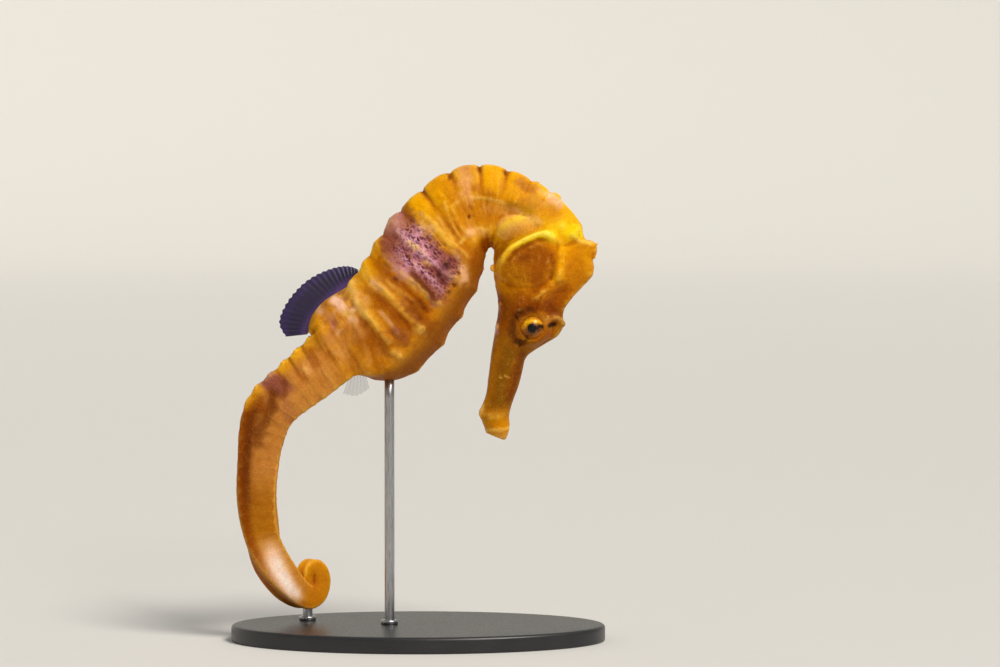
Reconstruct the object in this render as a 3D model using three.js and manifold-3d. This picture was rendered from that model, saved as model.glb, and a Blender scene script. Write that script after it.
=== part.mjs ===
// A life-size seahorse on a display stand, in millimetres, +Z up. The animal's plane of symmetry is XZ, its head
// points to +X and its right side faces -Y. The origin is the middle of the stand's underside.
import * as THREE from "three";
import { mergeGeometries, mergeVertices } from "three/addons/utils/BufferGeometryUtils.js";
import Module from "manifold-3d";

const wasm = await Module();
wasm.setup();

// ---------------------------------------------------------------- driving dimensions

const GAP = 0.3; // between neighbouring solids
const FIN_THICKNESS = 0.5;

// Where the spine starts, inside the back of the skull: x and z.
const SPINE_START = [21.4, 64.9];

// Stations down the body. at: distance along the spine. heading: the spine's direction, degrees anticlockwise from
// +X. up, down: reach from the spine to the back and to the belly. wide: half width. ring: how many bony rings have
// gone by. lean: how far the ring tips towards the head, degrees. yaw: turn about the vertical, degrees.
// form: 0 is the seven-sided section of the trunk and 1 the four-sided one of the tail.
const STATIONS = [
  { at: 0, heading: 118, up: 4.95, down: 8.6, wide: 3.9, ring: 0, lean: 0, yaw: 0, form: 0 },
  { at: 5, heading: 141, up: 4.35, down: 8.6, wide: 4, ring: 1.55, lean: -1, yaw: 0, form: 0 },
  { at: 10, heading: 162, up: 4.25, down: 8.4, wide: 4.1, ring: 3.35, lean: 3, yaw: 0, form: 0 },
  { at: 15, heading: 201, up: 5.15, down: 8.8, wide: 4.3, ring: 5, lean: -7, yaw: 0, form: 0 },
  { at: 20, heading: 236, up: 6.3, down: 8.9, wide: 4.8, ring: 6.3, lean: -18, yaw: 0, form: 0 },
  { at: 26, heading: 243, up: 8.1, down: 9.3, wide: 5.3, ring: 7.8, lean: -13, yaw: 0, form: 0 },
  { at: 33, heading: 238, up: 8.6, down: 9.1, wide: 5.5, ring: 9.3, lean: -10, yaw: 0, form: 0 },
  { at: 40, heading: 224, up: 8.6, down: 9.2, wide: 5.4, ring: 10.8, lean: -8, yaw: 0, form: 0.05 },
  { at: 44, heading: 215, up: 7.7, down: 8.2, wide: 4.9, ring: 11.7, lean: -4, yaw: 0, form: 0.3 },
  { at: 46.2, heading: 212, up: 7, down: 6.2, wide: 4.5, ring: 12.2, lean: -2, yaw: 0, form: 0.55 },
  { at: 48, heading: 210, up: 6.3, down: 4.6, wide: 4.2, ring: 12.7, lean: -1, yaw: 0, form: 0.75 },
  { at: 50.5, heading: 209, up: 5, down: 4.35, wide: 4, ring: 13.5, lean: 0, yaw: 0, form: 0.95 },
  { at: 54, heading: 211, up: 4, down: 4.75, wide: 3.95, ring: 14.8, lean: 0, yaw: 0, form: 1 },
  { at: 58, heading: 220, up: 3.4, down: 4.75, wide: 3.85, ring: 16.4, lean: 0, yaw: 0, form: 1 },
  { at: 64, heading: 241, up: 3.85, down: 4.2, wide: 3.6, ring: 18.9, lean: 0, yaw: 0, form: 1 },
  { at: 68, heading: 255, up: 3.2, down: 4.25, wide: 3.3, ring: 20.6, lean: 0, yaw: 0, form: 1 },
  { at: 72, heading: 265, up: 2.65, down: 4.05, wide: 3.05, ring: 22.5, lean: 0, yaw: 0, form: 1 },
  { at: 78, heading: 274, up: 2.65, down: 3.45, wide: 2.75, ring: 25.6, lean: 0, yaw: 0, form: 1 },
  { at: 84, heading: 283, up: 2.35, down: 3.15, wide: 2.45, ring: 28.9, lean: 0, yaw: 0, form: 1 },
  { at: 90, heading: 305, up: 2.45, down: 2.75, wide: 2.3, ring: 32.4, lean: 0, yaw: 28, form: 1 },
  { at: 94, heading: 319, up: 2.25, down: 2.45, wide: 2.1, ring: 35, lean: 0, yaw: 45, form: 1 },
  { at: 98, heading: 343, up: 1.85, down: 1.95, wide: 1.75, ring: 37.8, lean: 0, yaw: 45, form: 1 },
  { at: 102, heading: 426, up: 1.45, down: 1.5, wide: 1.35, ring: 40.8, lean: 0, yaw: 45, form: 1 },
  { at: 106, heading: 522, up: 1.1, down: 1.1, wide: 1, ring: 44, lean: 0, yaw: 46, form: 1 },
  { at: 110, heading: 700, up: 0.5, down: 0.5, wide: 0.5, ring: 47.5, lean: 0, yaw: 50, form: 1 },
];

// The head's frame: the middle of the mouth, and how far the snout leans from the vertical, degrees.
const MOUTH = [12.5, 33.2];
const SNOUT_LEAN = 8.3;

// Stations along the head from the mouth. crown, throat: reach to either side of the snout's axis. wide: half width.
// form: 0 is the round snout and 1 the skull.
const HEAD_STATIONS = [
  { at: -0.4, crown: 1.5, throat: 1.1, wide: 1.2, form: 0 },
  { at: 0.9, crown: 1.8, throat: 2.1, wide: 1.75, form: 0 },
  { at: 2.9, crown: 1.6, throat: 3.05, wide: 2.0, form: 0 },
  { at: 5, crown: 1.6, throat: 2.65, wide: 1.65, form: 0 },
  { at: 9.5, crown: 2.2, throat: 2.6, wide: 1.8, form: 0 },
  { at: 12.7, crown: 2.9, throat: 2.6, wide: 2.2, form: 0 },
  { at: 15.2, crown: 5.5, throat: 2.5, wide: 2.9, form: 0.5 },
  { at: 18, crown: 8.0, throat: 2.5, wide: 3.4, form: 0.8 },
  { at: 21.2, crown: 7.5, throat: 2.75, wide: 3.6, form: 1 },
  { at: 24.5, crown: 9.8, throat: 3.9, wide: 3.9, form: 1 },
  { at: 27.5, crown: 11.7, throat: 4.5, wide: 4.1, form: 1 },
  { at: 30.5, crown: 11.0, throat: 4.6, wide: 4.1, form: 1 },
  { at: 33.5, crown: 9.0, throat: 4.4, wide: 4.0, form: 1 },
  { at: 36, crown: 7.6, throat: 3.4, wide: 3.6, form: 1 },
  { at: 37.6, crown: 5.6, throat: 2.0, wide: 2.6, form: 1 },
];

// Half sections from the back (first) to the belly (last). Each point is [out, up] as shares of the half width and
// the half depth.
const ROUND = [[0, 1], [0.43, 0.9], [0.78, 0.62], [0.97, 0.22], [0.97, -0.22], [0.78, -0.62], [0.43, -0.9], [0, -1]];
const TRUNK = [
  [0, 0.94], [0.46, 1], [0.78, 0.72], [1, 0.34], [0.92, -0.1], [0.87, -0.54], [0.45, -0.83], [0, -1],
];
const TAIL = [
  [0, 0.95], [0.78, 1], [0.93, 0.5], [0.95, 0], [0.93, -0.5], [0.78, -1], [0.4, -0.96], [0, -0.95],
];
const SKULL = [
  [0, 1], [0.24, 0.95], [0.44, 0.62], [0.84, 0.3], [0.97, -0.02], [1, -0.38], [0.62, -0.8], [0, -1],
];

const RING_RELIEF = 0.035; // how far a ring stands out, as a share of the half depth
const EYE = { at: 17.7, crown: 2.7, out: 2.55, radius: 1.85 };
const GILL_COVER = { at: 27.9, crown: 1.5, out: 3.35, long: 5.5, high: 5.3 };
const CORONET = { at: 31.2, crown: 11.2, ring: 0.95, points: 5, height: 1.2, thick: 0.7 };
const SPINES = {
  nose: { at: 19.2, crown: 7.4, out: 0, aim: [0.1, 1, 0], length: 1.5, thick: 0.9 },
  brow_right: { at: 19.4, crown: 4.6, out: -2.6, aim: [0.35, 0.6, -0.9], length: 1.3, thick: 0.8 },
  brow_left: { at: 19.4, crown: 4.6, out: 2.6, aim: [0.35, 0.6, 0.9], length: 1.3, thick: 0.8 },
  cheek_right: { at: 26.6, crown: -3.6, out: -1.7, aim: [0.1, -1, -0.5], length: 1.8, thick: 0.8 },
  cheek_left: { at: 26.6, crown: -3.6, out: 1.7, aim: [0.1, -1, 0.5], length: 1.8, thick: 0.8 },
};

// The fins. front, rear: the ends of the base, x and z. first, last: the directions of the end rays, degrees.
// reach: how far the rays go at even steps along the base.
const DORSAL_FIN = { front: [-9.6, 58.8], rear: [-17.7, 49.2], rays: 17, first: 96, last: 188, reach: [1.5, 4, 5.8, 5.8, 3.8] };
const ANAL_FIN = { front: [-8.6, 42.6], rear: [-10.6, 42.4], rays: 4, first: 290, last: 252, reach: [1.8, 3.4, 3.4] };
const PECTORAL_FIN = { front: [18.9, 65.6], rear: [14.1, 64.3], rays: 15, first: 66, last: 178, reach: [2.4, 3.3, 2.4] };
const FIN_HUMP = { front: [-10.4, 56.4], rear: [-17.2, 49.3], height: 2.1, wide: 1.5 };

const STAND = { length: 60, width: 36, height: 2.6, bevel: 0.5, rod_radius: 0.8, belly_rod: -4.6 };

// The colours of the parts.
const PAINT = {
  skin: { color: 0xe0981f, roughness: 0.5, metalness: 0 },
  snout: { color: 0xd8961c, roughness: 0.5, metalness: 0 },
  eye: { color: 0x2a1608, roughness: 0.1, metalness: 0 },
  fin: { color: 0x8f7ba8, roughness: 0.4, metalness: 0 },
  stand: { color: 0x1d1d1f, roughness: 0.4, metalness: 0 },
  rod: { color: 0xb8b8ba, roughness: 0.3, metalness: 1 },
};

// ---------------------------------------------------------------- curves

const radians = THREE.MathUtils.degToRad;

// A smooth curve through knots: the value at x of column `key` of a table whose rows are in order of `at`.
function smooth(table, key, x) {
  const last = table.length - 2;
  let i = table.findIndex((row, n) => n > last || x < table[n + 1].at);
  i = Math.min(Math.max(i, 0), last);
  const step = (n) => table[n + 1].at - table[n].at;
  const slope = (n) => (table[n + 1][key] - table[n][key]) / step(n);
  const tangent = (n) => {
    if (n === 0) return slope(0);
    if (n > last) return slope(last);
    return (slope(n - 1) * step(n) + slope(n) * step(n - 1)) / (step(n) + step(n - 1));
  };
  const h = step(i);
  const u = (x - table[i].at) / h;
  return (
    (2 * u ** 3 - 3 * u ** 2 + 1) * table[i][key] +
    (u ** 3 - 2 * u ** 2 + u) * h * tangent(i) +
    (3 * u ** 2 - 2 * u ** 3) * table[i + 1][key] +
    (u ** 3 - u ** 2) * h * tangent(i + 1)
  );
}

// The spine as points a short step apart, found by walking along its heading.
const STEP = 0.05;
const SPINE = walkSpine();

function spineDirection(at) {
  const heading = radians(smooth(STATIONS, "heading", at));
  const yaw = radians(smooth(STATIONS, "yaw", at));
  return new THREE.Vector3(
    Math.cos(heading) * Math.cos(yaw),
    Math.cos(heading) * Math.sin(yaw),
    Math.sin(heading),
  );
}

function walkSpine() {
  const end = STATIONS[STATIONS.length - 1].at;
  const points = [new THREE.Vector3(SPINE_START[0], 0, SPINE_START[1])];
  for (let n = 1; n * STEP <= end + STEP; n++) {
    points.push(points[n - 1].clone().addScaledVector(spineDirection((n - 0.5) * STEP), STEP));
  }
  return points;
}

// Where a ring of the body stands: its centre on the spine, the way to its back and the way to its left side.
function ringFrame(at) {
  const n = Math.min(Math.floor(at / STEP), SPINE.length - 2);
  const centre = SPINE[n].clone().lerp(SPINE[n + 1], at / STEP - n);
  const tilt = radians(smooth(STATIONS, "heading", at) + smooth(STATIONS, "lean", at));
  const yaw = radians(smooth(STATIONS, "yaw", at));
  const back = new THREE.Vector3(
    Math.sin(tilt) * Math.cos(yaw),
    Math.sin(tilt) * Math.sin(yaw),
    -Math.cos(tilt),
  );
  return { centre, back, left: new THREE.Vector3(-Math.sin(yaw), Math.cos(yaw), 0) };
}

// ---------------------------------------------------------------- sections

// Points round a closed section, from the back down the left side and up the right. `perSide` points lie between
// back and belly. The half section is a curve through its corners, so that each ridge stays crisp enough to see.
function outline(corners, perSide) {
  const curve = new THREE.SplineCurve(corners.map(([out, up]) => new THREE.Vector2(out, up)));
  const half = Array.from({ length: perSide + 1 }, (_, n) => curve.getPoint(n / perSide));
  const other = half.slice(1, -1).reverse().map((p) => new THREE.Vector2(-p.x, p.y));
  return [...half, ...other];
}

const blend = (a, b, share) => a.map(([out, up], n) => [
  out + (b[n][0] - out) * share,
  up + (b[n][1] - up) * share,
]);

// One ring of the body, as points in space, grown outwards by `grow`.
function bodySection(at, grow, perSide) {
  const { centre, back, left } = ringFrame(at);
  const up = smooth(STATIONS, "up", at);
  const down = smooth(STATIONS, "down", at);
  const ring = smooth(STATIONS, "ring", at);
  const relief = 1 + RING_RELIEF * Math.cos(2 * Math.PI * ring);
  const deep = ((up + down) / 2) * relief + grow;
  const wide = smooth(STATIONS, "wide", at) * relief + grow;
  const form = THREE.MathUtils.clamp(smooth(STATIONS, "form", at), 0, 1);
  return outline(blend(TRUNK, TAIL, form), perSide).map((p) =>
    centre.clone().addScaledVector(back, (up - down) / 2 + p.y * deep).addScaledVector(left, p.x * wide),
  );
}

// A point of the head: along the snout's axis from the mouth, towards the crown, and to the animal's left.
function headPoint(at, crown, out) {
  const lean = radians(SNOUT_LEAN);
  return new THREE.Vector3(
    MOUTH[0] + at * Math.sin(lean) + crown * Math.cos(lean),
    out,
    MOUTH[1] + at * Math.cos(lean) - crown * Math.sin(lean),
  );
}

function headSection(at, grow, perSide) {
  const crown = smooth(HEAD_STATIONS, "crown", at);
  const throat = smooth(HEAD_STATIONS, "throat", at);
  const deep = (crown + throat) / 2 + grow;
  const wide = smooth(HEAD_STATIONS, "wide", at) + grow;
  const form = THREE.MathUtils.clamp(smooth(HEAD_STATIONS, "form", at), 0, 1);
  return outline(blend(ROUND, SKULL, form), perSide).map((p) =>
    headPoint(at, (crown - throat) / 2 + p.y * deep, p.x * wide),
  );
}

// ---------------------------------------------------------------- solids

// A closed solid through rings of points that all have the same count.
function loft(rings) {
  const around = rings[0].length;
  const positions = rings.flat().flatMap((p) => [p.x, p.y, p.z]);
  const index = [];
  for (let r = 0; r + 1 < rings.length; r++) {
    for (let n = 0; n < around; n++) {
      const a = r * around + n;
      const b = r * around + ((n + 1) % around);
      index.push(a, b, a + around, b, b + around, a + around);
    }
  }
  for (const [r, order] of [[0, 1], [rings.length - 1, -1]]) {
    const middle = rings[r].reduce((sum, p) => sum.add(p), new THREE.Vector3()).divideScalar(around);
    positions.push(middle.x, middle.y, middle.z);
    const hub = positions.length / 3 - 1;
    for (let n = 0; n < around; n++) {
      const a = r * around + n;
      const b = r * around + ((n + 1) % around);
      index.push(...(order > 0 ? [hub, b, a] : [hub, a, b]));
    }
  }
  const made = new THREE.BufferGeometry();
  made.setAttribute("position", new THREE.Float32BufferAttribute(positions, 3));
  made.setIndex(index);
  return made;
}

// A geometry as a manifold solid, turned right way out.
function solid(geometry) {
  const bare = new THREE.BufferGeometry();
  const source = geometry.index ? geometry.toNonIndexed() : geometry;
  bare.setAttribute("position", source.getAttribute("position"));
  const merged = mergeVertices(bare, 1e-3);
  const triVerts = new Uint32Array(merged.index.array);
  const build = () =>
    new wasm.Manifold(
      new wasm.Mesh({ numProp: 3, vertProperties: merged.attributes.position.array, triVerts }),
    );
  const made = build();
  if (made.volume() > 0) return made;
  for (let i = 0; i < triVerts.length; i += 3) {
    [triVerts[i + 1], triVerts[i + 2]] = [triVerts[i + 2], triVerts[i + 1]];
  }
  return build();
}

// The largest body of a solid that cuts have left, as a three.js geometry.
function geometryOf(made) {
  const bodies = made.decompose().sort((a, b) => b.volume() - a.volume());
  const mesh = bodies[0].getMesh();
  const geometry = new THREE.BufferGeometry();
  geometry.setAttribute("position", new THREE.Float32BufferAttribute(mesh.vertProperties, 3));
  geometry.setIndex(Array.from(mesh.triVerts));
  return geometry;
}

const add = (first, ...others) => others.reduce((sum, other) => sum.add(other), first);
const cut = (first, ...others) => others.reduce((rest, other) => rest.subtract(other), first);

function range(from, to, count) {
  return Array.from({ length: count + 1 }, (_, n) => from + ((to - from) * n) / count);
}

// A length of the body. `slices` sections are spread evenly.
function bodyLength(from, to, slices, perSide, grow = 0) {
  return solid(loft(range(from, to, slices).map((at) => bodySection(at, grow, perSide))));
}

function headLength(from, to, slices, perSide, grow = 0) {
  return solid(loft(range(from, to, slices).map((at) => headSection(at, grow, perSide))));
}

// A blunt spine from a foot point in a direction, both in space.
function spine(foot, direction, length, thick) {
  const profile = [
    new THREE.Vector2(0, -thick),
    new THREE.Vector2(thick, 0),
    new THREE.Vector2(thick * 0.55, length * 0.55),
    new THREE.Vector2(thick * 0.22, length * 0.92),
    new THREE.Vector2(0, length),
  ];
  const turn = new THREE.Quaternion().setFromUnitVectors(
    new THREE.Vector3(0, 1, 0),
    direction.clone().normalize(),
  );
  const shape = new THREE.LatheGeometry(profile, 7);
  shape.applyQuaternion(turn);
  shape.translate(foot.x, foot.y, foot.z);
  return solid(shape);
}

function ellipsoid(centre, radii, detail) {
  const shape = new THREE.SphereGeometry(1, detail, detail / 2);
  shape.scale(radii.x, radii.y, radii.z);
  shape.translate(centre.x, centre.y, centre.z);
  return solid(shape);
}

// A fan of rays between two points in the XZ plane, as an outline. Each ray ends in a small scallop.
function fanOutline({ front, rear, rays, first, last, reach }) {
  const reaches = reach.map((long, n) => ({ at: n / (reach.length - 1), long }));
  const shape = new THREE.Shape();
  shape.moveTo(rear[0], rear[1]);
  shape.lineTo(front[0], front[1]);
  for (let n = 0; n <= 2 * rays; n++) {
    const share = n / (2 * rays);
    const angle = radians(first + (last - first) * share);
    const long = smooth(reaches, "long", share) * (n % 2 ? 1 : 0.95);
    shape.lineTo(
      front[0] + (rear[0] - front[0]) * share + long * Math.cos(angle),
      front[1] + (rear[1] - front[1]) * share + long * Math.sin(angle),
    );
  }
  return shape;
}

// A flat fin, upright in the XZ plane and centred on y = 0.
function finPlate(fan) {
  const plate = new THREE.ExtrudeGeometry(fanOutline(fan), { depth: FIN_THICKNESS, bevelEnabled: false });
  plate.translate(0, 0, -FIN_THICKNESS / 2);
  plate.rotateX(Math.PI / 2);
  return plate;
}

// ---------------------------------------------------------------- head

const eyeAt = (side, grow) =>
  ellipsoid(
    headPoint(EYE.at, EYE.crown, side * EYE.out),
    new THREE.Vector3(EYE.radius + grow, EYE.radius + grow, EYE.radius + grow),
    16,
  );

// The bony plate over the gills: a shallow dish with a raised rim, turned to face out from its side of the head.
function gillCover(side) {
  const { at, crown, out, long, high } = GILL_COVER;
  const profile = [[0, 0], [1, 0], [1, 0.9], [0.88, 1.55], [0.72, 1.35], [0.4, 1.6], [0, 1.75]];
  const dish = new THREE.LatheGeometry(profile.map(([r, h]) => new THREE.Vector2(r, h)), 22);
  dish.scale(high, 1, long);
  if (side < 0) dish.rotateZ(Math.PI);
  dish.rotateY(radians(SNOUT_LEAN));
  const centre = headPoint(at, crown, side * out);
  dish.translate(centre.x, centre.y, centre.z);
  return solid(dish);
}

function coronet() {
  const { at, crown, ring, points, height, thick } = CORONET;
  const middle = headPoint(at, crown - 1.2, 0);
  const stem = ellipsoid(middle, new THREE.Vector3(1.9, 1.25, 1.5), 12);
  const parts = Array.from({ length: points }, (_, n) => {
    const turn = (2 * Math.PI * n) / points;
    const along = ring * Math.cos(turn);
    const out = ring * Math.sin(turn);
    const foot = headPoint(at + along, crown, out);
    const aim = headPoint(at + along * 1.7, crown + 1, out * 1.7).sub(foot);
    return spine(foot, aim, height, thick);
  });
  return add(stem, ...parts);
}

const head = headLength(12.9 + GAP, 37.6, 22, 11);
const headClear = headLength(12.9, 37.9, 22, 11, GAP);
const spines = Object.values(SPINES).map(({ at, crown, out, aim, length, thick }) => {
  const foot = headPoint(at, crown, out);
  const tip = headPoint(at + aim[0], crown + aim[1], out + aim[2]);
  return spine(foot, tip.sub(foot), length, thick);
});
const skull = cut(add(head, ...spines), eyeAt(1, GAP), eyeAt(-1, GAP));
const snout = headLength(-0.4, 12.9, 18, 8);

// ---------------------------------------------------------------- body

const LENGTHS = [
  { name: "neck", from: 0, to: 15, slices: 12, perSide: 8 },
  { name: "trunk_front", from: 15, to: 31, slices: 14, perSide: 8 },
  { name: "trunk_rear", from: 31, to: 48, slices: 16, perSide: 8 },
  { name: "tail_base", from: 48, to: 64, slices: 16, perSide: 7 },
  { name: "tail_upper", from: 64, to: 78, slices: 16, perSide: 7 },
  { name: "tail_lower", from: 78, to: 92, slices: 18, perSide: 7 },
  { name: "tail_bend", from: 92, to: 102, slices: 16, perSide: 6 },
  { name: "tail_tip", from: 102, to: 110, slices: 18, perSide: 5 },
];

// The fleshy foot of the dorsal fin, which stands on the last rings of the trunk and is highest at its rear.
function finHump(grow) {
  const { front, rear, height, wide } = FIN_HUMP;
  const run = new THREE.Vector3(rear[0] - front[0], 0, rear[1] - front[1]);
  const out = new THREE.Vector3(run.z, 0, -run.x).normalize();
  if (out.x > 0) out.negate();
  const rings = range(0, 1, 10).map((share) => {
    const swell = Math.sin(Math.PI * Math.min(0.97, 0.04 + 0.93 * share ** 1.35)) ** 0.6;
    const centre = new THREE.Vector3(front[0], 0, front[1]).addScaledVector(run, share);
    return range(0, 2 * Math.PI, 10).slice(0, -1).map((turn) =>
      centre.clone()
        .addScaledVector(out, Math.cos(turn) * (height * swell + grow))
        .add(new THREE.Vector3(0, Math.sin(turn) * (wide * (0.5 + 0.5 * swell) + grow), 0)),
    );
  });
  return solid(loft(rings));
}

const bodyClear = bodyLength(0, 64, 48, 8, GAP);
const humpClear = finHump(GAP);
const parts = {};
for (const { name, from, to, slices, perSide } of LENGTHS) {
  parts[name] = bodyLength(from + (from ? GAP / 2 : 0), to - GAP / 2, slices, perSide);
}
parts.neck = cut(parts.neck, headClear, gillCoverClear(1), gillCoverClear(-1));
parts.trunk_front = cut(parts.trunk_front, headClear);
parts.trunk_rear = add(parts.trunk_rear, cut(finHump(0), bodyLength(47, 60, 12, 9, GAP)));

// The room that a gill cover needs, with the gap round it.
function gillCoverClear(side) {
  const { at, crown, out, long, high } = GILL_COVER;
  const centre = headPoint(at, crown, side * (out + 0.9));
  return ellipsoid(centre, new THREE.Vector3(high + 0.5, 1.9, long + 0.5), 24);
}

// ---------------------------------------------------------------- fins

function pectoralFin(side) {
  const plate = finPlate(PECTORAL_FIN);
  const { front, rear } = PECTORAL_FIN;
  const base = new THREE.Vector3((front[0] + rear[0]) / 2, 0, (front[1] + rear[1]) / 2);
  const hinge = new THREE.Vector3(front[0] - rear[0], 0, front[1] - rear[1]).normalize();
  plate.translate(-base.x, 0, -base.z);
  plate.applyQuaternion(new THREE.Quaternion().setFromAxisAngle(hinge, side * radians(-24)));
  plate.translate(base.x, side * 4.75, base.z);
  return solid(plate);
}

// ---------------------------------------------------------------- stand

function standBase() {
  const { length, width, height, bevel } = STAND;
  const shape = new THREE.Shape();
  shape.absellipse(0, 0, length / 2 - bevel, width / 2 - bevel, 0, 2 * Math.PI);
  const base = new THREE.ExtrudeGeometry(shape, {
    depth: height - 2 * bevel,
    bevelThickness: bevel,
    bevelSize: bevel,
    bevelSegments: 1,
    curveSegments: 22,
  });
  base.translate(0, 0, bevel);
  return base;
}

// A rod from the stand up to the body above (x, y), cut a little short of the skin.
function standRod(x, y, top) {
  const foot = STAND.height + 0.02;
  const rod = new THREE.CylinderGeometry(STAND.rod_radius, STAND.rod_radius, top - foot, 16);
  rod.rotateX(Math.PI / 2);
  rod.translate(x, y, (top + foot) / 2);
  return solid(rod);
}

const bellyClear = bodyLength(31, 60, 30, 9, GAP);
const tailClear = bodyLength(80, 102, 40, 7, GAP);
const tailRest = SPINE.reduce((low, p) => (p.z < low.z ? p : low));

// ---------------------------------------------------------------- the parts in one group

const root = new THREE.Group();

function place(name, made, paint) {
  const geometry = made.isBufferGeometry ? made : geometryOf(made);
  geometry.computeVertexNormals();
  const mesh = new THREE.Mesh(geometry, new THREE.MeshStandardMaterial(PAINT[paint]));
  mesh.name = name;
  root.add(mesh);
}

place("head", skull, "skin");
place("snout", snout, "snout");
place("coronet", cut(coronet(), headClear), "skin");
for (const [name, side] of [["right", -1], ["left", 1]]) {
  place(`eye_${name}`, eyeAt(side, 0), "eye");
  place(`gill_cover_${name}`, cut(gillCover(side), headClear), "skin");
  place(
    `pectoral_fin_${name}`,
    cut(pectoralFin(side), bodyClear, headClear, gillCoverClear(side)),
    "fin",
  );
}
for (const { name } of LENGTHS) place(name, parts[name], "skin");
place("dorsal_fin", cut(solid(finPlate(DORSAL_FIN)), bodyClear, humpClear), "fin");
place("anal_fin", cut(solid(finPlate(ANAL_FIN)), bodyClear), "fin");
place("stand_base", standBase(), "stand");
place("stand_rod_belly", cut(standRod(STAND.belly_rod, 0, 50), bellyClear), "rod");
place("stand_rod_tail", cut(standRod(tailRest.x, tailRest.y, 9), tailClear), "rod");

export default root;
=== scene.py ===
"""Looks of a life-size seahorse on its display stand.

The animal is one skin over the whole body, with separate eyes and fins. The stand is an oval base with two rods.
Forms are worked out in millimetres and written to the meshes in metres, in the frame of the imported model.
"""

import logging
import math
from collections.abc import Callable, Sequence
from dataclasses import dataclass, field
from enum import Enum, IntEnum

import bmesh
import bpy
import numpy as np
from mathutils import Matrix, Vector, noise
from mathutils.bvhtree import BVHTree


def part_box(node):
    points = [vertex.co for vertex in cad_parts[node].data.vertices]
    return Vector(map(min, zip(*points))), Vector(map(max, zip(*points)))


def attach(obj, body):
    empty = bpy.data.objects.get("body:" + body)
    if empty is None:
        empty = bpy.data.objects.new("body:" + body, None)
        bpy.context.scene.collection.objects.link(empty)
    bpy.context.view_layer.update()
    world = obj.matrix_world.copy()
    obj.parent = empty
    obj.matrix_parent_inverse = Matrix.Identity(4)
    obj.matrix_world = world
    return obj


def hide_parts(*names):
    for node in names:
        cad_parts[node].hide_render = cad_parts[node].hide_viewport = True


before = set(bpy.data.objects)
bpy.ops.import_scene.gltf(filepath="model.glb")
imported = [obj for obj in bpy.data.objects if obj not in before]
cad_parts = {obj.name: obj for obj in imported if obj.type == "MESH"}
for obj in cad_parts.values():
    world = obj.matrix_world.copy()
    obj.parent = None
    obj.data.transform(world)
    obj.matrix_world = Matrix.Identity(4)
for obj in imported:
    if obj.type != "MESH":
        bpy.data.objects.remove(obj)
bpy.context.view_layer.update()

MM = 0.001
BODY = "root"
SENSOR = 36.0
LOG = logging.getLogger("seahorse")

Array = np.ndarray
Colour = tuple[float, float, float]
Place = tuple[float, float, float]
Pairs = tuple[tuple[float, float], ...]
Mesh = bpy.types.Mesh
Material = bpy.types.Material
NodeTree = bpy.types.NodeTree
Output = bpy.types.NodeSocket


# ---- named choices


class Side(IntEnum):
    """The two sides of the animal, by the sign of Y."""

    RIGHT = -1
    LEFT = 1


class Ridge(float, Enum):
    """Lines along the body, as places q on the half section from the back, 0, to the belly, 7."""

    SUPERIOR = 1.0
    LATERAL = 3.0
    INFERIOR = 5.0
    BELLY = 7.0


class Slot(str, Enum):
    """The record's material slots."""

    SKIN = "skin"
    EYE = "eye"
    FIN = "fin"
    BASE = "stand_black"
    ROD = "rod_steel"


class Tint(Enum):
    """Skin colours, as the screen shows them, 0 to 255."""

    GOLD = (228, 150, 0)
    LOBE = (240, 173, 0)
    LEMON = (255, 224, 22)
    CREAM = (246, 200, 104)
    OCHRE = (198, 122, 8)
    TAN = (192, 126, 54)
    PEACH = (232, 168, 98)
    RUST = (150, 72, 2)
    BROWN = (104, 46, 8)
    UMBER = (150, 90, 10)
    LILAC = (190, 126, 160)
    PINK = (236, 182, 212)
    MAUVE = (140, 74, 62)
    ROSE = (250, 204, 174)
    MILK = (255, 236, 222)
    OLIVE = (100, 68, 8)
    SPOT = (36, 14, 6)
    BLACK = (4, 3, 3)


# ---- shaping functions


def hermite(x: Array, knots: Array, values: Array) -> Array:
    """A smooth curve through knots, with the slopes that the solids' own tables use.

    Args:
        x: places to read.
        knots: places of the knots, rising.
        values: the curve's values there.

    Returns:
        The curve's values at x.
    """
    step = np.diff(knots)
    slope = np.diff(values) / step
    tangent = np.empty(len(knots))
    tangent[0], tangent[-1] = slope[0], slope[-1]
    tangent[1:-1] = (slope[:-1] * step[1:] + slope[1:] * step[:-1]) / (step[1:] + step[:-1])
    i = np.clip(np.searchsorted(knots, x, side="right") - 1, 0, len(step) - 1)
    u = (x - knots[i]) / step[i]
    return (
        (2 * u**3 - 3 * u**2 + 1) * values[i]
        + (u**3 - 2 * u**2 + u) * step[i] * tangent[i]
        + (3 * u**2 - 2 * u**3) * values[i + 1]
        + (u**3 - u**2) * step[i] * tangent[i + 1]
    )


def rise(low: float, high: float, x: Array) -> Array:
    """A smooth step from 0 at low to 1 at high, or falling if high is the smaller."""
    t = np.clip((x - low) / (high - low), 0.0, 1.0)
    return t * t * (3.0 - 2.0 * t)


def bell(x: Array, centre: float, width: float) -> Array:
    """A round bump of height 1 at centre, a third as high one width away."""
    return np.exp(-(((x - centre) / width) ** 2))


def span(x: Array, low: float, high: float, soft: float) -> Array:
    """1 between low and high, falling to 0 over soft on either side."""
    return rise(low - soft, low + soft, x) * rise(high + soft, high - soft, x)


def lined(x: Array, *pairs: tuple[float, float]) -> Array:
    """Straight lines through (place, value) pairs, read at x."""
    places, values = zip(*pairs)
    return np.interp(x, places, values)


def from_line(points: Array, start: Sequence[float], end: Sequence[float]) -> Array:
    """Measures how far points lie from a line between two points.

    Args:
        points: one row a point, in two or three dimensions.
        start: one end.
        end: the other end.

    Returns:
        The distances.
    """
    a = np.asarray(start, float)
    run = np.asarray(end, float) - a
    share = np.clip((points - a) @ run / max(run @ run, 1e-9), 0.0, 1.0)
    return np.linalg.norm(points - a - share[:, None] * run, axis=1)


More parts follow.
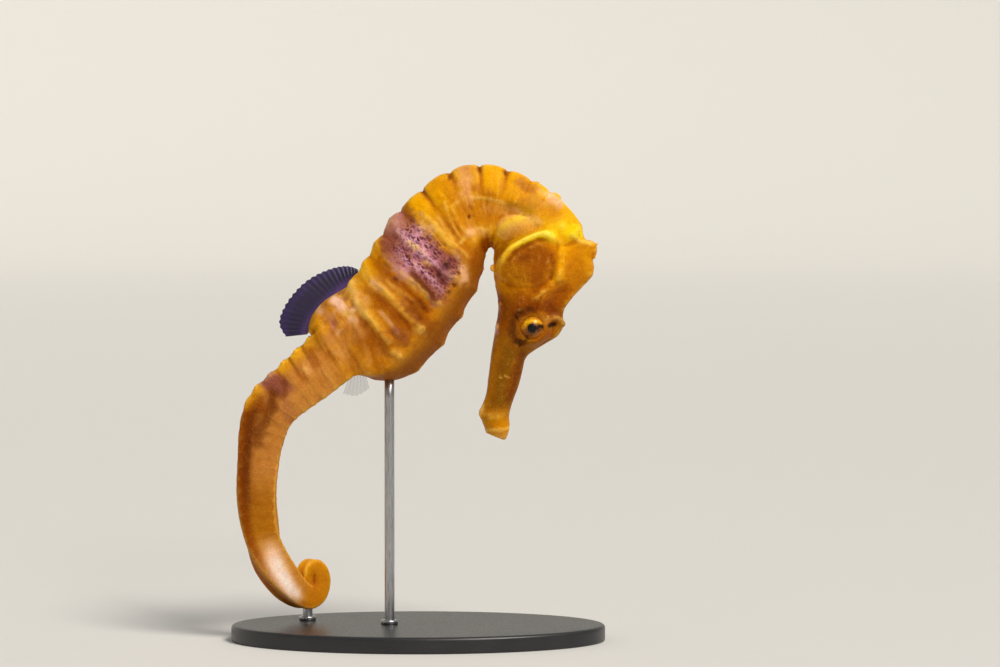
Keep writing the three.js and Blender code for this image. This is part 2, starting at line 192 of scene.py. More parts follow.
def drift(points: Array, size: float, seed: float) -> Array:
    """Smooth noise from about -1 to 1 with features of that size, at points in millimetres."""
    shift = Vector((seed, seed * 0.7, -seed * 1.3))
    return np.array([noise.noise(Vector(p) / size + shift) for p in points])


# ---- meshes


@dataclass
class Form:
    """Points in millimetres and the faces between them."""

    points: Array
    faces: list[tuple[int, ...]]

    def mesh(self, name: str, scale: float = MM) -> Mesh:
        """Writes the form to a Blender mesh.

        Args:
            name: the mesh's name.
            scale: Blender units to a millimetre.

        Returns:
            The mesh, smooth shaded, with its faces turned outwards.
        """
        made = bpy.data.meshes.new(name)
        made.from_pydata((self.points * scale).tolist(), [], self.faces)
        work = bmesh.new()
        work.from_mesh(made)
        bmesh.ops.remove_doubles(work, verts=work.verts, dist=scale * 1e-4)
        bmesh.ops.recalc_face_normals(work, faces=work.faces)
        work.to_mesh(made)
        work.free()
        made.shade_smooth()
        return made


def joined(*forms: Form) -> Form:
    """Makes one form of several.

    Args:
        forms: the forms, in the order that their points take.

    Returns:
        The one form.
    """
    faces, start = [], 0
    for form in forms:
        faces += [tuple(i + start for i in face) for face in form.faces]
        start += len(form.points)
    return Form(np.vstack([form.points for form in forms]), faces)


def tube_form(rings: Array, closed_ends: bool = True) -> Form:
    """A skin through rings of points that all have the same count.

    Args:
        rings: an array of ring, place round it and x, y, z.
        closed_ends: whether a hub closes each end.

    Returns:
        The form.
    """
    count, around = rings.shape[:2]
    points = rings.reshape(-1, 3)
    faces = []
    for r in range(count - 1):
        for n in range(around):
            a, b = r * around + n, r * around + (n + 1) % around
            faces.append((a, b, b + around, a + around))
    if closed_ends:
        for r, turned in ((0, True), (count - 1, False)):
            points = np.vstack([points, rings[r].mean(axis=0)])
            hub = len(points) - 1
            for n in range(around):
                a, b = r * around + n, r * around + (n + 1) % around
                faces.append((hub, b, a) if turned else (hub, a, b))
    return Form(points, faces)


def once_round(around: int) -> Array:
    """Angles once round, without the last."""
    return np.linspace(0, 2 * np.pi, around, endpoint=False)


def turned(
    profile: Sequence[tuple[float, float]], around: int, middle: Sequence[float] = (0, 0),
    reach: Sequence[float] = (0, 0),
) -> Array:
    """Level rings for a turned form.

    Args:
        profile: (radius, height) pairs.
        around: points to a ring.
        middle: x and y of the upright axis.
        reach: what is added to the radius along x and y, for ovals.

    Returns:
        The rings, as tube_form takes them.
    """
    turn = once_round(around)
    return np.array([
        np.stack([
            middle[0] + (reach[0] + r) * np.cos(turn), middle[1] + (reach[1] + r) * np.sin(turn),
            np.full(around, h),
        ], axis=1)
        for r, h in profile
    ])


def place(name: str, mesh: Mesh, material: Material, slot: Slot, *nodes: str) -> None:
    """Puts a finished mesh into the scene as a piece of the model.

    Args:
        name: the piece's name.
        mesh: its mesh, in metres.
        material: its finish.
        slot: the record's slot that its finish stands for; not used.
        nodes: the solids that it stands for.
    """
    mesh.materials.clear()
    mesh.materials.append(material)
    piece = bpy.data.objects.new(name, mesh)
    bpy.context.scene.collection.objects.link(piece)
    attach(piece, BODY)
    if nodes:
        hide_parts(*nodes)
    LOG.info("%s: %d triangles", name, sum(len(p.vertices) - 2 for p in mesh.polygons))


def modified(
    mesh: Mesh, kind: str, inputs: dict | None = None, **settings: object
) -> Mesh:
    """A plain mesh that one modifier makes of another.

    Args:
        mesh: the mesh to start from.
        kind: Blender's name of the modifier type.
        inputs: a node tree's inputs by name, set before it is worked out.
        settings: the modifier's own properties.

    Returns:
        The new mesh.
    """
    holder = bpy.data.objects.new(mesh.name, mesh)
    bpy.context.scene.collection.objects.link(holder)
    modifier = holder.modifiers.new(kind.lower(), kind)
    for key, value in settings.items():
        setattr(modifier, key, value)
    for key, value in (inputs or {}).items():
        modifier[socket_id(modifier.node_group, key)] = value
    bpy.context.view_layer.update()
    graph = bpy.context.evaluated_depsgraph_get()
    made = bpy.data.meshes.new_from_object(holder.evaluated_get(graph))
    holder.modifiers.clear()
    bpy.data.objects.remove(holder)
    return made


def read_vectors(data: bpy.types.bpy_prop_collection, name: str) -> Array:
    """Reads vectors from mesh data.

    Args:
        data: the items.
        name: the property that holds the numbers.

    Returns:
        One row of three numbers for each item.
    """
    flat = np.empty(len(data) * 3, np.float32)
    data.foreach_get(name, flat)
    return flat.reshape(-1, 3).astype(float)


def points_of(mesh: Mesh) -> Array:
    """The mesh's vertex places."""
    return read_vectors(mesh.vertices, "co")


def normals_of(mesh: Mesh) -> Array:
    """The mesh's vertex normals."""
    return read_vectors(mesh.vertex_normals, "vector")


def set_points(mesh: Mesh, points: Array) -> None:
    """Moves the mesh's vertices."""
    mesh.vertices.foreach_set("co", points.astype(np.float32).ravel())
    mesh.update()


def set_mask(mesh: Mesh, name: str, values: Array) -> None:
    """Writes one number or one vector a vertex as an attribute."""
    kind, key = ("FLOAT", "value") if values.ndim == 1 else ("FLOAT_VECTOR", "vector")
    mesh.attributes.new(name, kind, "POINT").data.foreach_set(key, values.astype(np.float32).ravel())


def linear(colour: Sequence[float]) -> Array:
    """Turns screen colours into the linear ones that shaders use.

    Args:
        colour: one colour, or a row for each, from 0 to 255.

    Returns:
        Red, green, blue and a full alpha, from 0 to 1.
    """
    share = np.clip(np.asarray(colour, float) / 255.0, 0, 1)
    share = np.where(share <= 0.04045, share / 12.92, ((share + 0.055) / 1.055) ** 2.4)
    return np.concatenate([share, np.ones((*share.shape[:-1], 1))], axis=-1)


def set_tint(mesh: Mesh, colour: Array) -> None:
    """Writes a screen colour a vertex, 0 to 255, as the linear attribute that finishes read."""
    tint = mesh.attributes.new("tint", "FLOAT_COLOR", "POINT")
    tint.data.foreach_set("color", linear(colour).astype(np.float32).ravel())


def lay(colour: Array, tint: Tint, mask: Array) -> None:
    """Covers a colour for each vertex with a tint where the mask is 1, in place."""
    colour += (np.array(tint.value, float) - colour) * np.clip(mask, 0, 1)[:, None]


def lay_coats(colour: Array, coats: Sequence[tuple[Tint, Array]]) -> None:
    """Lays tints over a colour for each vertex, one after another, each with its mask."""
    for tint, mask in coats:
        lay(colour, tint, mask)


def plain(tint: Tint, count: int) -> Array:
    """The same colour for each of so many vertices."""
    return np.tile(np.array(tint.value, float), (count, 1))


def neighbour_mean(values: Array, edges: Array, count: int) -> Array:
    """The mean of each vertex's neighbours.

    Args:
        values: one row a vertex.
        edges: pairs of vertex numbers.
        count: how many vertices there are.

    Returns:
        The means, one row a vertex.
    """
    flat = values.reshape(count, -1)
    ways = np.bincount(edges.ravel(), minlength=count).clip(1)[:, None]
    total = np.stack(
        [
            np.bincount(edges[:, 0], flat[edges[:, 1], k], count)
            + np.bincount(edges[:, 1], flat[edges[:, 0], k], count)
            for k in range(flat.shape[1])
        ],
        axis=1,
    )
    return (total / ways).reshape(values.shape)


# ---- node trees


class Wiring:
    """A node tree while it is being wired."""

    def __init__(self, tree: NodeTree) -> None:
        """Starts on an empty tree."""
        self.tree = tree
        tree.nodes.clear()

    def add(self, kind: str, inputs: dict | None = None, **settings: object) -> bpy.types.Node:
        """Adds a node.

        Args:
            kind: Blender's name of the node type.
            inputs: values or output sockets, by the input's name or number.
            settings: the node's own properties.

        Returns:
            The node.
        """
        node = self.tree.nodes.new(kind)
        for key, value in settings.items():
            setattr(node, key, value)
        for key, value in (inputs or {}).items():
            if isinstance(value, Output):
                self.tree.links.new(value, node.inputs[key])
            else:
                node.inputs[key].default_value = value
        return node

    def math(self, operation: str, *values: object) -> Output:
        """A sum on numbers. Returns its output."""
        return self.add("ShaderNodeMath", dict(enumerate(values)), operation=operation).outputs[0]

    def mix(self, share: object, first: object, second: object, blend: str = "MIX") -> Output:
        """A mix of two colours. Returns its output."""
        # These numbers are the colour mix's own share and colours.
        given = {0: share, 6: first, 7: second}
        return self.add("ShaderNodeMix", given, data_type="RGBA", blend_type=blend, clamp_factor=True).outputs[2]

    def spread(
        self, value: object, low: float, high: float, to_low: float = 0.0, to_high: float = 1.0
    ) -> Output:
        """Maps low..high to to_low..to_high with a smooth step. Returns the output."""
        given = {0: value, 1: low, 2: high, 3: to_low, 4: to_high}
        return self.add("ShaderNodeMapRange", given, interpolation_type="SMOOTHSTEP").outputs[0]

    def attribute(self, name: str, output: str = "Fac") -> Output:
        """An output of the mesh's own attribute."""
        return self.add("ShaderNodeAttribute", attribute_name=name).outputs[output]

    def named(self, name: str, kind: str = "FLOAT") -> Output:
        """The mesh's own attribute, in a geometry tree."""
        return self.add("GeometryNodeInputNamedAttribute", {"Name": name}, data_type=kind).outputs[0]

    def place_on_piece(self, stretch: Colour = (1.0, 1.0, 1.0)) -> Output:
        """Object coordinates in metres, stretched. Returns the vector."""
        at = self.add("ShaderNodeTexCoord").outputs["Object"]
        return self.add("ShaderNodeMapping", {"Vector": at, "Scale": stretch}).outputs[0]

    def noise(self, vector: object, scale: object, detail: float = 2.0, rough: float = 0.5) -> Output:
        """Noise of that scale. Returns the factor."""
        given = {"Vector": vector, "Scale": scale, "Detail": detail, "Roughness": rough}
        return self.add("ShaderNodeTexNoise", given).outputs["Fac"]

    def grain(self, coarse: float, fine: float, stretch: Colour = (1.0, 1.0, 1.0)) -> list[Output]:
        """The fine grain's patches, grain and height."""
        given = {"Vector": self.place_on_piece(stretch), "Coarse": coarse, "Fine": fine}
        return list(self.add("ShaderNodeGroup", given, node_tree=grain_group()).outputs)

    def surface(self, bump: float = 0.0, height: object = None, **inputs: object) -> None:
        """Adds the shader, bumped by a height at that distance, and leads it to the output.

        Args:
            bump: how far out a height of 1 is, in metres.
            height: the bump's height.
            inputs: the shader's inputs, with _ for each space in a name.
        """
        given = {key.replace("_", " "): value for key, value in inputs.items()}
        if height is not None:
            given["Normal"] = self.add("ShaderNodeBump", {"Distance": bump, "Height": height}).outputs[0]
        shader = self.add("ShaderNodeBsdfPrincipled", given)
        self.add("ShaderNodeOutputMaterial", {"Surface": shader.outputs[0]})

    def hand_out(self, geometry: Output, material: Output) -> NodeTree:
        """Makes instances real, sets the material last and ends a geometry tree.

        Args:
            geometry: what the tree has made.
            material: its finish.

        Returns:
            The tree.
        """
        real = self.add("GeometryNodeRealizeInstances", {"Geometry": geometry})
        dressed = self.add("GeometryNodeSetMaterial", {"Geometry": real.outputs[0], "Material": material})
        self.add("NodeGroupOutput", {0: dressed.outputs[0]})
        return self.tree


def new_material(name: str) -> tuple[Material, Wiring]:
    """Starts an empty material.

    Args:
        name: the material's name.

    Returns:
        The material and its wiring.
    """
    made = bpy.data.materials.new(name)
    made.use_nodes = True
    return made, Wiring(made.node_tree)


def new_tree(name: str, kind: str, inputs: dict[str, str], outputs: dict[str, str]) -> tuple[Wiring, dict]:
    """A node group with its interface.

    Args:
        name: the group's name.
        kind: Blender's name of the tree type.
        inputs: kinds of sockets by name.
        outputs: kinds of sockets by name.

    Returns:
        The group's wiring, and its inputs by name.
    """
    tree = bpy.data.node_groups.new(name, kind)
    for sockets, way in ((inputs, "INPUT"), (outputs, "OUTPUT")):
        for socket, holds in sockets.items():
            tree.interface.new_socket(socket, in_out=way, socket_type=f"NodeSocket{holds}")
    w = Wiring(tree)
    given = w.add("NodeGroupInput")
    return w, {socket: given.outputs[socket] for socket in inputs}


def socket_id(tree: NodeTree, name: str) -> str:
    """The identifier of the group's input of that name."""
    sockets = [item for item in tree.interface.items_tree if item.item_type == "SOCKET" and item.in_out == "INPUT"]
    return next(socket.identifier for socket in sockets if socket.name == name)


# ---- the animal's measures


def table(text: str) -> Array:
    """Reads rows of numbers with spaces between them."""
    return np.array([row.split() for row in text.strip().splitlines()], float)


SPINE_START = (21.4, 64.9)
MOUTH = (12.5, 33.2)
SNOUT_LEAN = math.radians(8.3)
LEAN_SIN, LEAN_COS = math.sin(SNOUT_LEAN), math.cos(SNOUT_LEAN)
SPINE_STEP = 0.05
# How far the lips slant back, as a share of the height over the snout's axis.
LIP_SLANT = 0.24

# at, heading, up, down, wide, lean, yaw, form: the solids' stations, with a slightly thicker curl.
BODY_STATIONS = table("""
0 118 4.95 8.6 3.9 0 0 0
5 141 4.35 8.6 4.0 -1 0 0
10 162 4.25 8.4 4.1 3 0 0
15 201 5.15 8.8 4.3 -7 0 0
20 236 6.3 8.9 4.8 -18 0 0
26 243 8.1 9.3 5.3 -13 0 0
33 238 8.6 9.1 5.5 -10 0 0
40 224 8.6 9.2 5.4 -8 0 0.05
44 215 7.7 8.2 4.9 -4 0 0.3
46.2 212 7.0 6.2 4.5 -2 0 0.55
48 210 6.3 4.6 4.2 -1 0 0.75
50.5 209 5.0 4.35 4.0 0 0 0.95
54 211 4.0 4.75 3.95 0 0 1
58 220 3.4 4.75 3.85 0 0 1
64 241 3.85 4.2 3.6 0 0 1
68 255 3.2 4.25 3.3 0 0 1
72 265 2.65 4.05 3.05 0 0 1
78 274 2.65 3.45 2.75 0 0 1
84 283 2.35 3.15 2.45 0 0 1
90 305 2.45 2.75 2.3 0 28 1
94 319 2.25 2.45 2.1 0 45 1
98 343 1.85 2.1 1.75 0 45 1
102 426 1.5 2.05 1.5 0 45 1
106 522 1.3 1.85 1.35 0 46 1
110 700 0.85 1.15 1.0 0 50 1
""")
BODY_COLUMNS = ("at", "heading", "up", "down", "wide", "lean", "yaw", "form")

# Where each bony ring stands along the spine, and how many have gone by.
RING_PLACES, RING_COUNTS = table("""
0 3.6 6.2 8.8 12.1 15.1 18.9 22.6 27 31.7 36 41 46.1 51.9 59.3 64 68 72 78 84 90 94 98 102 106 110
0 1 2 3 4 5 6 7 8 9 10 11 12 14 17 19 20.7 22.6 25.7 29 32.5 35.1 37.9 40.9 44.1 47.6
""")

# at, crown, throat, wide, form: close to the solids' stations, with more of them along the snout and brow.
HEAD_STATIONS = table("""
-0.45 1.55 1.65 1.3 0
0.3 1.85 2.0 1.7 0
1.8 1.95 2.7 1.95 0
3.05 1.66 3.3 2.05 0
4.0 1.68 3.0 1.75 0
5.4 1.9 2.6 1.65 0
8.3 2.5 2.55 1.75 0
10.75 2.75 2.6 1.95 0
13 3.1 2.65 2.25 0.1
15.2 5.4 2.6 2.9 0.5
17.3 7.75 2.55 3.3 0.75
18.7 8.2 2.5 3.45 0.85
20.6 7.8 2.7 3.55 1
24.5 9.7 3.9 3.9 1
27.5 11.7 4.5 4.1 1
30.5 11.0 4.6 4.1 1
33.5 9.25 4.4 4.0 0.75
35.3 8.6 3.7 3.75 0.5
36.6 7.2 3.0 3.3 0.3
37.8 5.0 1.5 2.2 0.2
""")
HEAD_COLUMNS = ("at", "crown", "throat", "wide", "form")

# Half sections [out, up] from the back to the belly.
ROUND = ((0, 1), (0.43, 0.9), (0.78, 0.62), (0.97, 0.22), (0.97, -0.22), (0.78, -0.62), (0.43, -0.9), (0, -1))
TRUNK = ((0, 0.94), (0.46, 1), (0.78, 0.72), (1, 0.34), (0.92, -0.1), (0.87, -0.54), (0.45, -0.83), (0, -1))
TAIL = ((0, 0.95), (0.78, 1), (0.93, 0.5), (0.95, 0), (0.93, -0.5), (0.78, -1), (0.4, -0.96), (0, -0.95))
SKULL = ((0, 1), (0.24, 0.95), (0.44, 0.62), (0.84, 0.3), (0.97, -0.02), (1, -0.38), (0.62, -0.8), (0, -1))


def half_section(q: Array, form: Array, first: Sequence, second: Sequence) -> tuple[Array, Array]:
    """Points on a half section that lies between two kinds.

    Args:
        q: places from the back (0) to the belly (7).
        form: 0 for the first kind and 1 for the second.
        first: corners of the first kind.
        second: corners of the second kind.

    Returns:
        How far out and how far up each point is, as shares of the half width and half depth.
    """
    a, b = np.asarray(first, float), np.asarray(second, float)
    i = np.clip(np.floor(q).astype(int), 0, 6)
    t = (q - i)[:, None]
    p0, p1, p2, p3 = (
        a[k] + (b[k] - a[k]) * form[:, None]
        for k in (np.maximum(i - 1, 0), i, np.minimum(i + 1, 7), np.minimum(i + 2, 7))
    )
    v0, v1 = (p2 - p0) / 2, (p3 - p1) / 2
    made = (2 * p1 - 2 * p2 + v0 + v1) * t**3 + (-3 * p1 + 3 * p2 - 2 * v0 - v1) * t**2 + v0 * t + p1
    return made[:, 0], made[:, 1]


def full_turn(per_side: int) -> tuple[Array, Array]:
    """Places q once round a section, down the left side and up the right, with the side's sign at each."""
    half = np.linspace(0, 7, per_side + 1)
    return np.concatenate([half, half[-2:0:-1]]), np.repeat([1.0, -1.0], [per_side + 1, per_side - 1])


def to_space(at: Array, crown: Array, out: Array) -> Array:
    """Turns places in the head's terms into points.

    Args:
        at: places along the snout's axis, from the mouth.
        crown: places towards the crown.
        out: places to the left.

    Returns:
        The points.
    """
    at, crown, out = np.broadcast_arrays(np.asarray(at, float), crown, out)
    x, z = MOUTH[0] + at * LEAN_SIN + crown * LEAN_COS, MOUTH[1] + at * LEAN_COS - crown * LEAN_SIN
    return np.stack([x, out, z], axis=-1)


def from_space(points: Array) -> tuple[Array, Array]:
    """The places of points along the snout's axis and towards the crown."""
    dx, dz = points[:, 0] - MOUTH[0], points[:, 2] - MOUTH[1]
    return dx * LEAN_SIN + dz * LEAN_COS, dx * LEAN_COS - dz * LEAN_SIN


class BodyShape:
    """The body from the nape to the tail's tip, as a surface over (s, q)."""

    def __init__(self) -> None:
        """Walks the spine."""
        self.end = float(BODY_STATIONS[-1, 0])
        middles = (np.arange(round(self.end / SPINE_STEP)) + 0.5) * SPINE_STEP
        heading, yaw = np.radians(self.column("heading", middles)), np.radians(self.column("yaw", middles))
        steps = SPINE_STEP * np.stack(
            [np.cos(heading) * np.cos(yaw), np.cos(heading) * np.sin(yaw), np.sin(heading)], axis=1
        )
        start = np.array([[SPINE_START[0], 0.0, SPINE_START[1]]])
        self.spine = np.vstack([start, start + np.cumsum(steps, axis=0)])

    def column(self, name: str, s: Array) -> Array:
        """A column of the stations, read at s."""
        return hermite(s, BODY_STATIONS[:, 0], BODY_STATIONS[:, BODY_COLUMNS.index(name)])

    def ring_count(self, s: Array) -> Array:
        """How many rings have gone by at s."""
        return hermite(s, RING_PLACES, RING_COUNTS)

    def frames(self, s: Array) -> tuple[Array, Array, Array]:
        """Reads the spine.

        Args:
            s: places along the spine.

        Returns:
            Each place's centre, the way to its back and the way to its left.
        """
        along = np.arange(len(self.spine)) * SPINE_STEP
        centre = np.stack([np.interp(s, along, self.spine[:, k]) for k in range(3)], axis=1)
        tilt = np.radians(self.column("heading", s) + self.column("lean", s))
        yaw = np.radians(self.column("yaw", s))
        back = np.stack([np.sin(tilt) * np.cos(yaw), np.sin(tilt) * np.sin(yaw), -np.cos(tilt)], axis=1)
        left = np.stack([-np.sin(yaw), np.cos(yaw), np.zeros_like(yaw)], axis=1)
        return centre, back, left

    def points(self, s: Array, q: Array, side: Array) -> Array:
        """Points of the surface.

        Args:
            s: places along the spine, in millimetres.
            q: places from back to belly.
            side: 1 for the left side and -1 for the right.

        Returns:
            The points, one row each.
        """
        centre, back, left = self.frames(s)
        up, down, wide = (self.column(name, s) for name in ("up", "down", "wide"))
        out, high = half_section(q, np.clip(self.column("form", s), 0, 1), TRUNK, TAIL)
        return (
            centre
            + back * ((up - down) / 2 + high * (up + down) / 2)[:, None]
            + left * (out * wide * side)[:, None]
        )

    def cap(self, reach: float = 3.4) -> Form:
        """Closes the neck's first ring with a round cap that ends in the skull.

        Args:
            reach: how far the cap stands out.

        Returns:
            The cap.
        """
        q, side = full_turn(28)
        ring = self.points(np.zeros(len(q)), q, side)
        middle, way = ring.mean(axis=0), (self.spine[0] - self.spine[1]) / SPINE_STEP
        turns = np.linspace(0, np.pi / 2, 12)[:-1]
        return tube_form(np.array([middle + (ring - middle) * np.cos(a) + way * reach * np.sin(a) for a in turns]))

    def loft(self, start: float, end: float, slices: int, per_side: int) -> tuple[Form, Array, Array]:
        """Makes the surface between two places.

        Args:
            start: the first place along the spine.
            end: the last place.
            slices: steps between them.
            per_side: steps from back to belly.

        Returns:
            The closed form, and s and q at each of its points.
        """
        s = np.linspace(start, end, slices + 1)
        q, side = full_turn(per_side)
        s_all, q_all = np.repeat(s, len(q)), np.tile(q, len(s))
        rings = self.points(s_all, q_all, np.tile(side, len(s))).reshape(len(s), len(q), 3)
        form = tube_form(rings)
        return form, np.concatenate([s_all, [start, end]]), np.concatenate([q_all, [3.5, 3.5]])


class HeadShape:
    """The head from the lips to the nape, as a surface over (at, q)."""

    def column(self, name: str, at: Array) -> Array:
        """A column of the stations, read at places along the head."""
        return hermite(at, HEAD_STATIONS[:, 0], HEAD_STATIONS[:, HEAD_COLUMNS.index(name)])

    def loft(self, slices: int, per_side: int) -> Form:
        """Makes the whole surface.

        Args:
            slices: steps from lips to nape.
            per_side: steps from crown to throat.

        Returns:
            The closed form.
        """
        at = np.linspace(HEAD_STATIONS[0, 0], HEAD_STATIONS[-1, 0], slices + 1)
        q, side = full_turn(per_side)
        at_all, q_all, side = np.repeat(at, len(q)), np.tile(q, len(at)), np.tile(side, len(at))
        crown, throat, wide = (self.column(name, at_all) for name in ("crown", "throat", "wide"))
        out, high = half_section(q_all, np.clip(self.column("form", at_all), 0, 1), ROUND, SKULL)
        up = (crown - throat) / 2 + high * (crown + throat) / 2
        slant = LIP_SLANT * up * rise(2.6, -0.4, at_all)
        points = to_space(at_all - slant, up, out * wide * side)
        return tube_form(points.reshape(len(at), len(q), 3))


# ---- spines and knobs


@dataclass(frozen=True)
class Thorn:
    """A blunt spine or knob: its foot, the way it points, its length and its half width at the foot."""

    foot: Place
    aim: Place
    length: float
    thick: float


@dataclass
class Thorns:
    """All spines and knobs, set on their places by one node tree.

    Blunt is the tip's half width and sunk the depth of the foot, as shares of the whole.
    """

    sides: int = 10
    blunt: float = 0.34
    sunk: float = 0.25
    places: list[Thorn] = field(default_factory=list)

    def tree(self) -> NodeTree:
        """Wires the tree that stands a blunt cone on every point of a mesh.

        Returns:
            The tree.
        """
        inputs = {"Geometry": "Geometry", "Sides": "Int", "Blunt": "Float", "Sunk": "Float", "Material": "Material"}
        w, given = new_tree("thorns_on_points", "GeometryNodeTree", inputs, {"Geometry": "Geometry"})
        cone = w.add(
            "GeometryNodeMeshCone",
            {"Vertices": given["Sides"], "Side Segments": 3, "Fill Segments": 1,
             "Radius Top": given["Blunt"], "Radius Bottom": 1.0, "Depth": 1.0},
            fill_type="TRIANGLE_FAN",
        )
        low = w.add("ShaderNodeCombineXYZ", {"Z": w.math("MULTIPLY", given["Sunk"], -1.0)})
        lowered = w.add("GeometryNodeTransform", {"Geometry": cone.outputs["Mesh"], "Translation": low.outputs[0]})
        rounded = w.add("GeometryNodeSubdivisionSurface", {"Mesh": lowered.outputs[0], "Level": 2})
        thick = w.named("thick")
        size = w.add("ShaderNodeCombineXYZ", {"X": thick, "Y": thick, "Z": w.named("length")})
        turn = w.add("FunctionNodeAlignRotationToVector", {"Vector": w.named("aim", "FLOAT_VECTOR")}, axis="Z")
        spots = w.add("GeometryNodeMeshToPoints", {"Mesh": given["Geometry"]})
        stood = w.add(
            "GeometryNodeInstanceOnPoints",
            {"Points": spots.outputs[0], "Instance": rounded.outputs[0], "Rotation": turn.outputs[0],
             "Scale": size.outputs[0]},
        )
        return w.hand_out(stood.outputs[0], given["Material"])

    def build(self, material: Material) -> Mesh:
        """Makes all of them in the skin's finish.

        Args:
            material: the skin's material.

        Returns:
            One mesh in millimetres.
        """
        mesh = bpy.data.meshes.new("thorn_places")
        mesh.from_pydata([t.foot for t in self.places], [], [])
        for name in ("aim", "length", "thick"):
            set_mask(mesh, name, np.array([getattr(t, name) for t in self.places], float))
        inputs = {"Sides": self.sides, "Blunt": self.blunt, "Sunk": self.sunk, "Material": material}
        return modified(mesh, "NODES", inputs, node_group=self.tree())


# ---- marks on the head


# Past so many widths a stroke no longer counts.
STROKE_REACH = 2.6
# A stroke's paint is raised by this and cut at full strength.
STROKE_FULL = 1.25


@dataclass(frozen=True)
class Stroke:
    """A raised or coloured line on both flanks.

    Its corners are (x, z) in millimetres. A height below zero is a groove.
    """

    line: Pairs
    width: float
    height: float
    tint: Tint
    strength: float

    def nearness(self, places: Array, ragged: Array) -> Array:
        """How near (x, z) places are to the line.

        Args:
            places: one row a place.
            ragged: how much wider the line is at each place, as a share.

        Returns:
            1 on the line, falling to a third one width away.
        """
        corners = np.array(self.line)
        reach = STROKE_REACH * self.width + 0.1
        inside = np.all((places > corners.min(axis=0) - reach) & (places < corners.max(axis=0) + reach), axis=1)
        made = np.zeros(len(places))
        if inside.any():
            here = places[inside]
            away = np.min([from_line(here, a, b) for a, b in zip(corners, corners[1:])], axis=0)
            made[inside] = np.exp(-((away / (self.width * (1 + ragged[inside]))) ** 2))
        return made


@dataclass(frozen=True)
class Strokes:
    """A set of strokes that is worked into a surface together."""

    items: tuple[Stroke, ...]

    def height(self, places: Array, ragged: Array) -> Array:
        """How far all strokes together raise (x, z) places, in millimetres."""
        return sum(s.height * s.nearness(places, ragged) for s in self.items if s.height)

    def paint(self, colour: Array, places: Array, ragged: Array, share: Array) -> None:
        """Lays the strokes over a colour for each place, one after another.

        Args:
            colour: one colour a place, 0 to 255, changed in place.
            places: (x, z) places.
            ragged: how much wider strokes are at each place, as a share.
            share: how much of the paint each place takes.
        """
        for s in self.items:
            if s.strength:
                near = np.clip(STROKE_FULL * s.nearness(places, ragged), 0, 1)
                lay(colour, s.tint, near * s.strength * share)


def strokes(table: str) -> Strokes:
    """Reads a table of strokes.

    Args:
        table: a line for each: its tint, strength, width and height, and then x and z of each corner.

    Returns:
        The strokes, in the table's order.
    """
    made = []
    for row in table.strip().splitlines():
        tint, *texts = row.split()
        strength, width, height, *corners = map(float, texts)
        made.append(Stroke(tuple(zip(corners[::2], corners[1::2])), width, height, Tint[tint], strength))
    return Strokes(tuple(made))


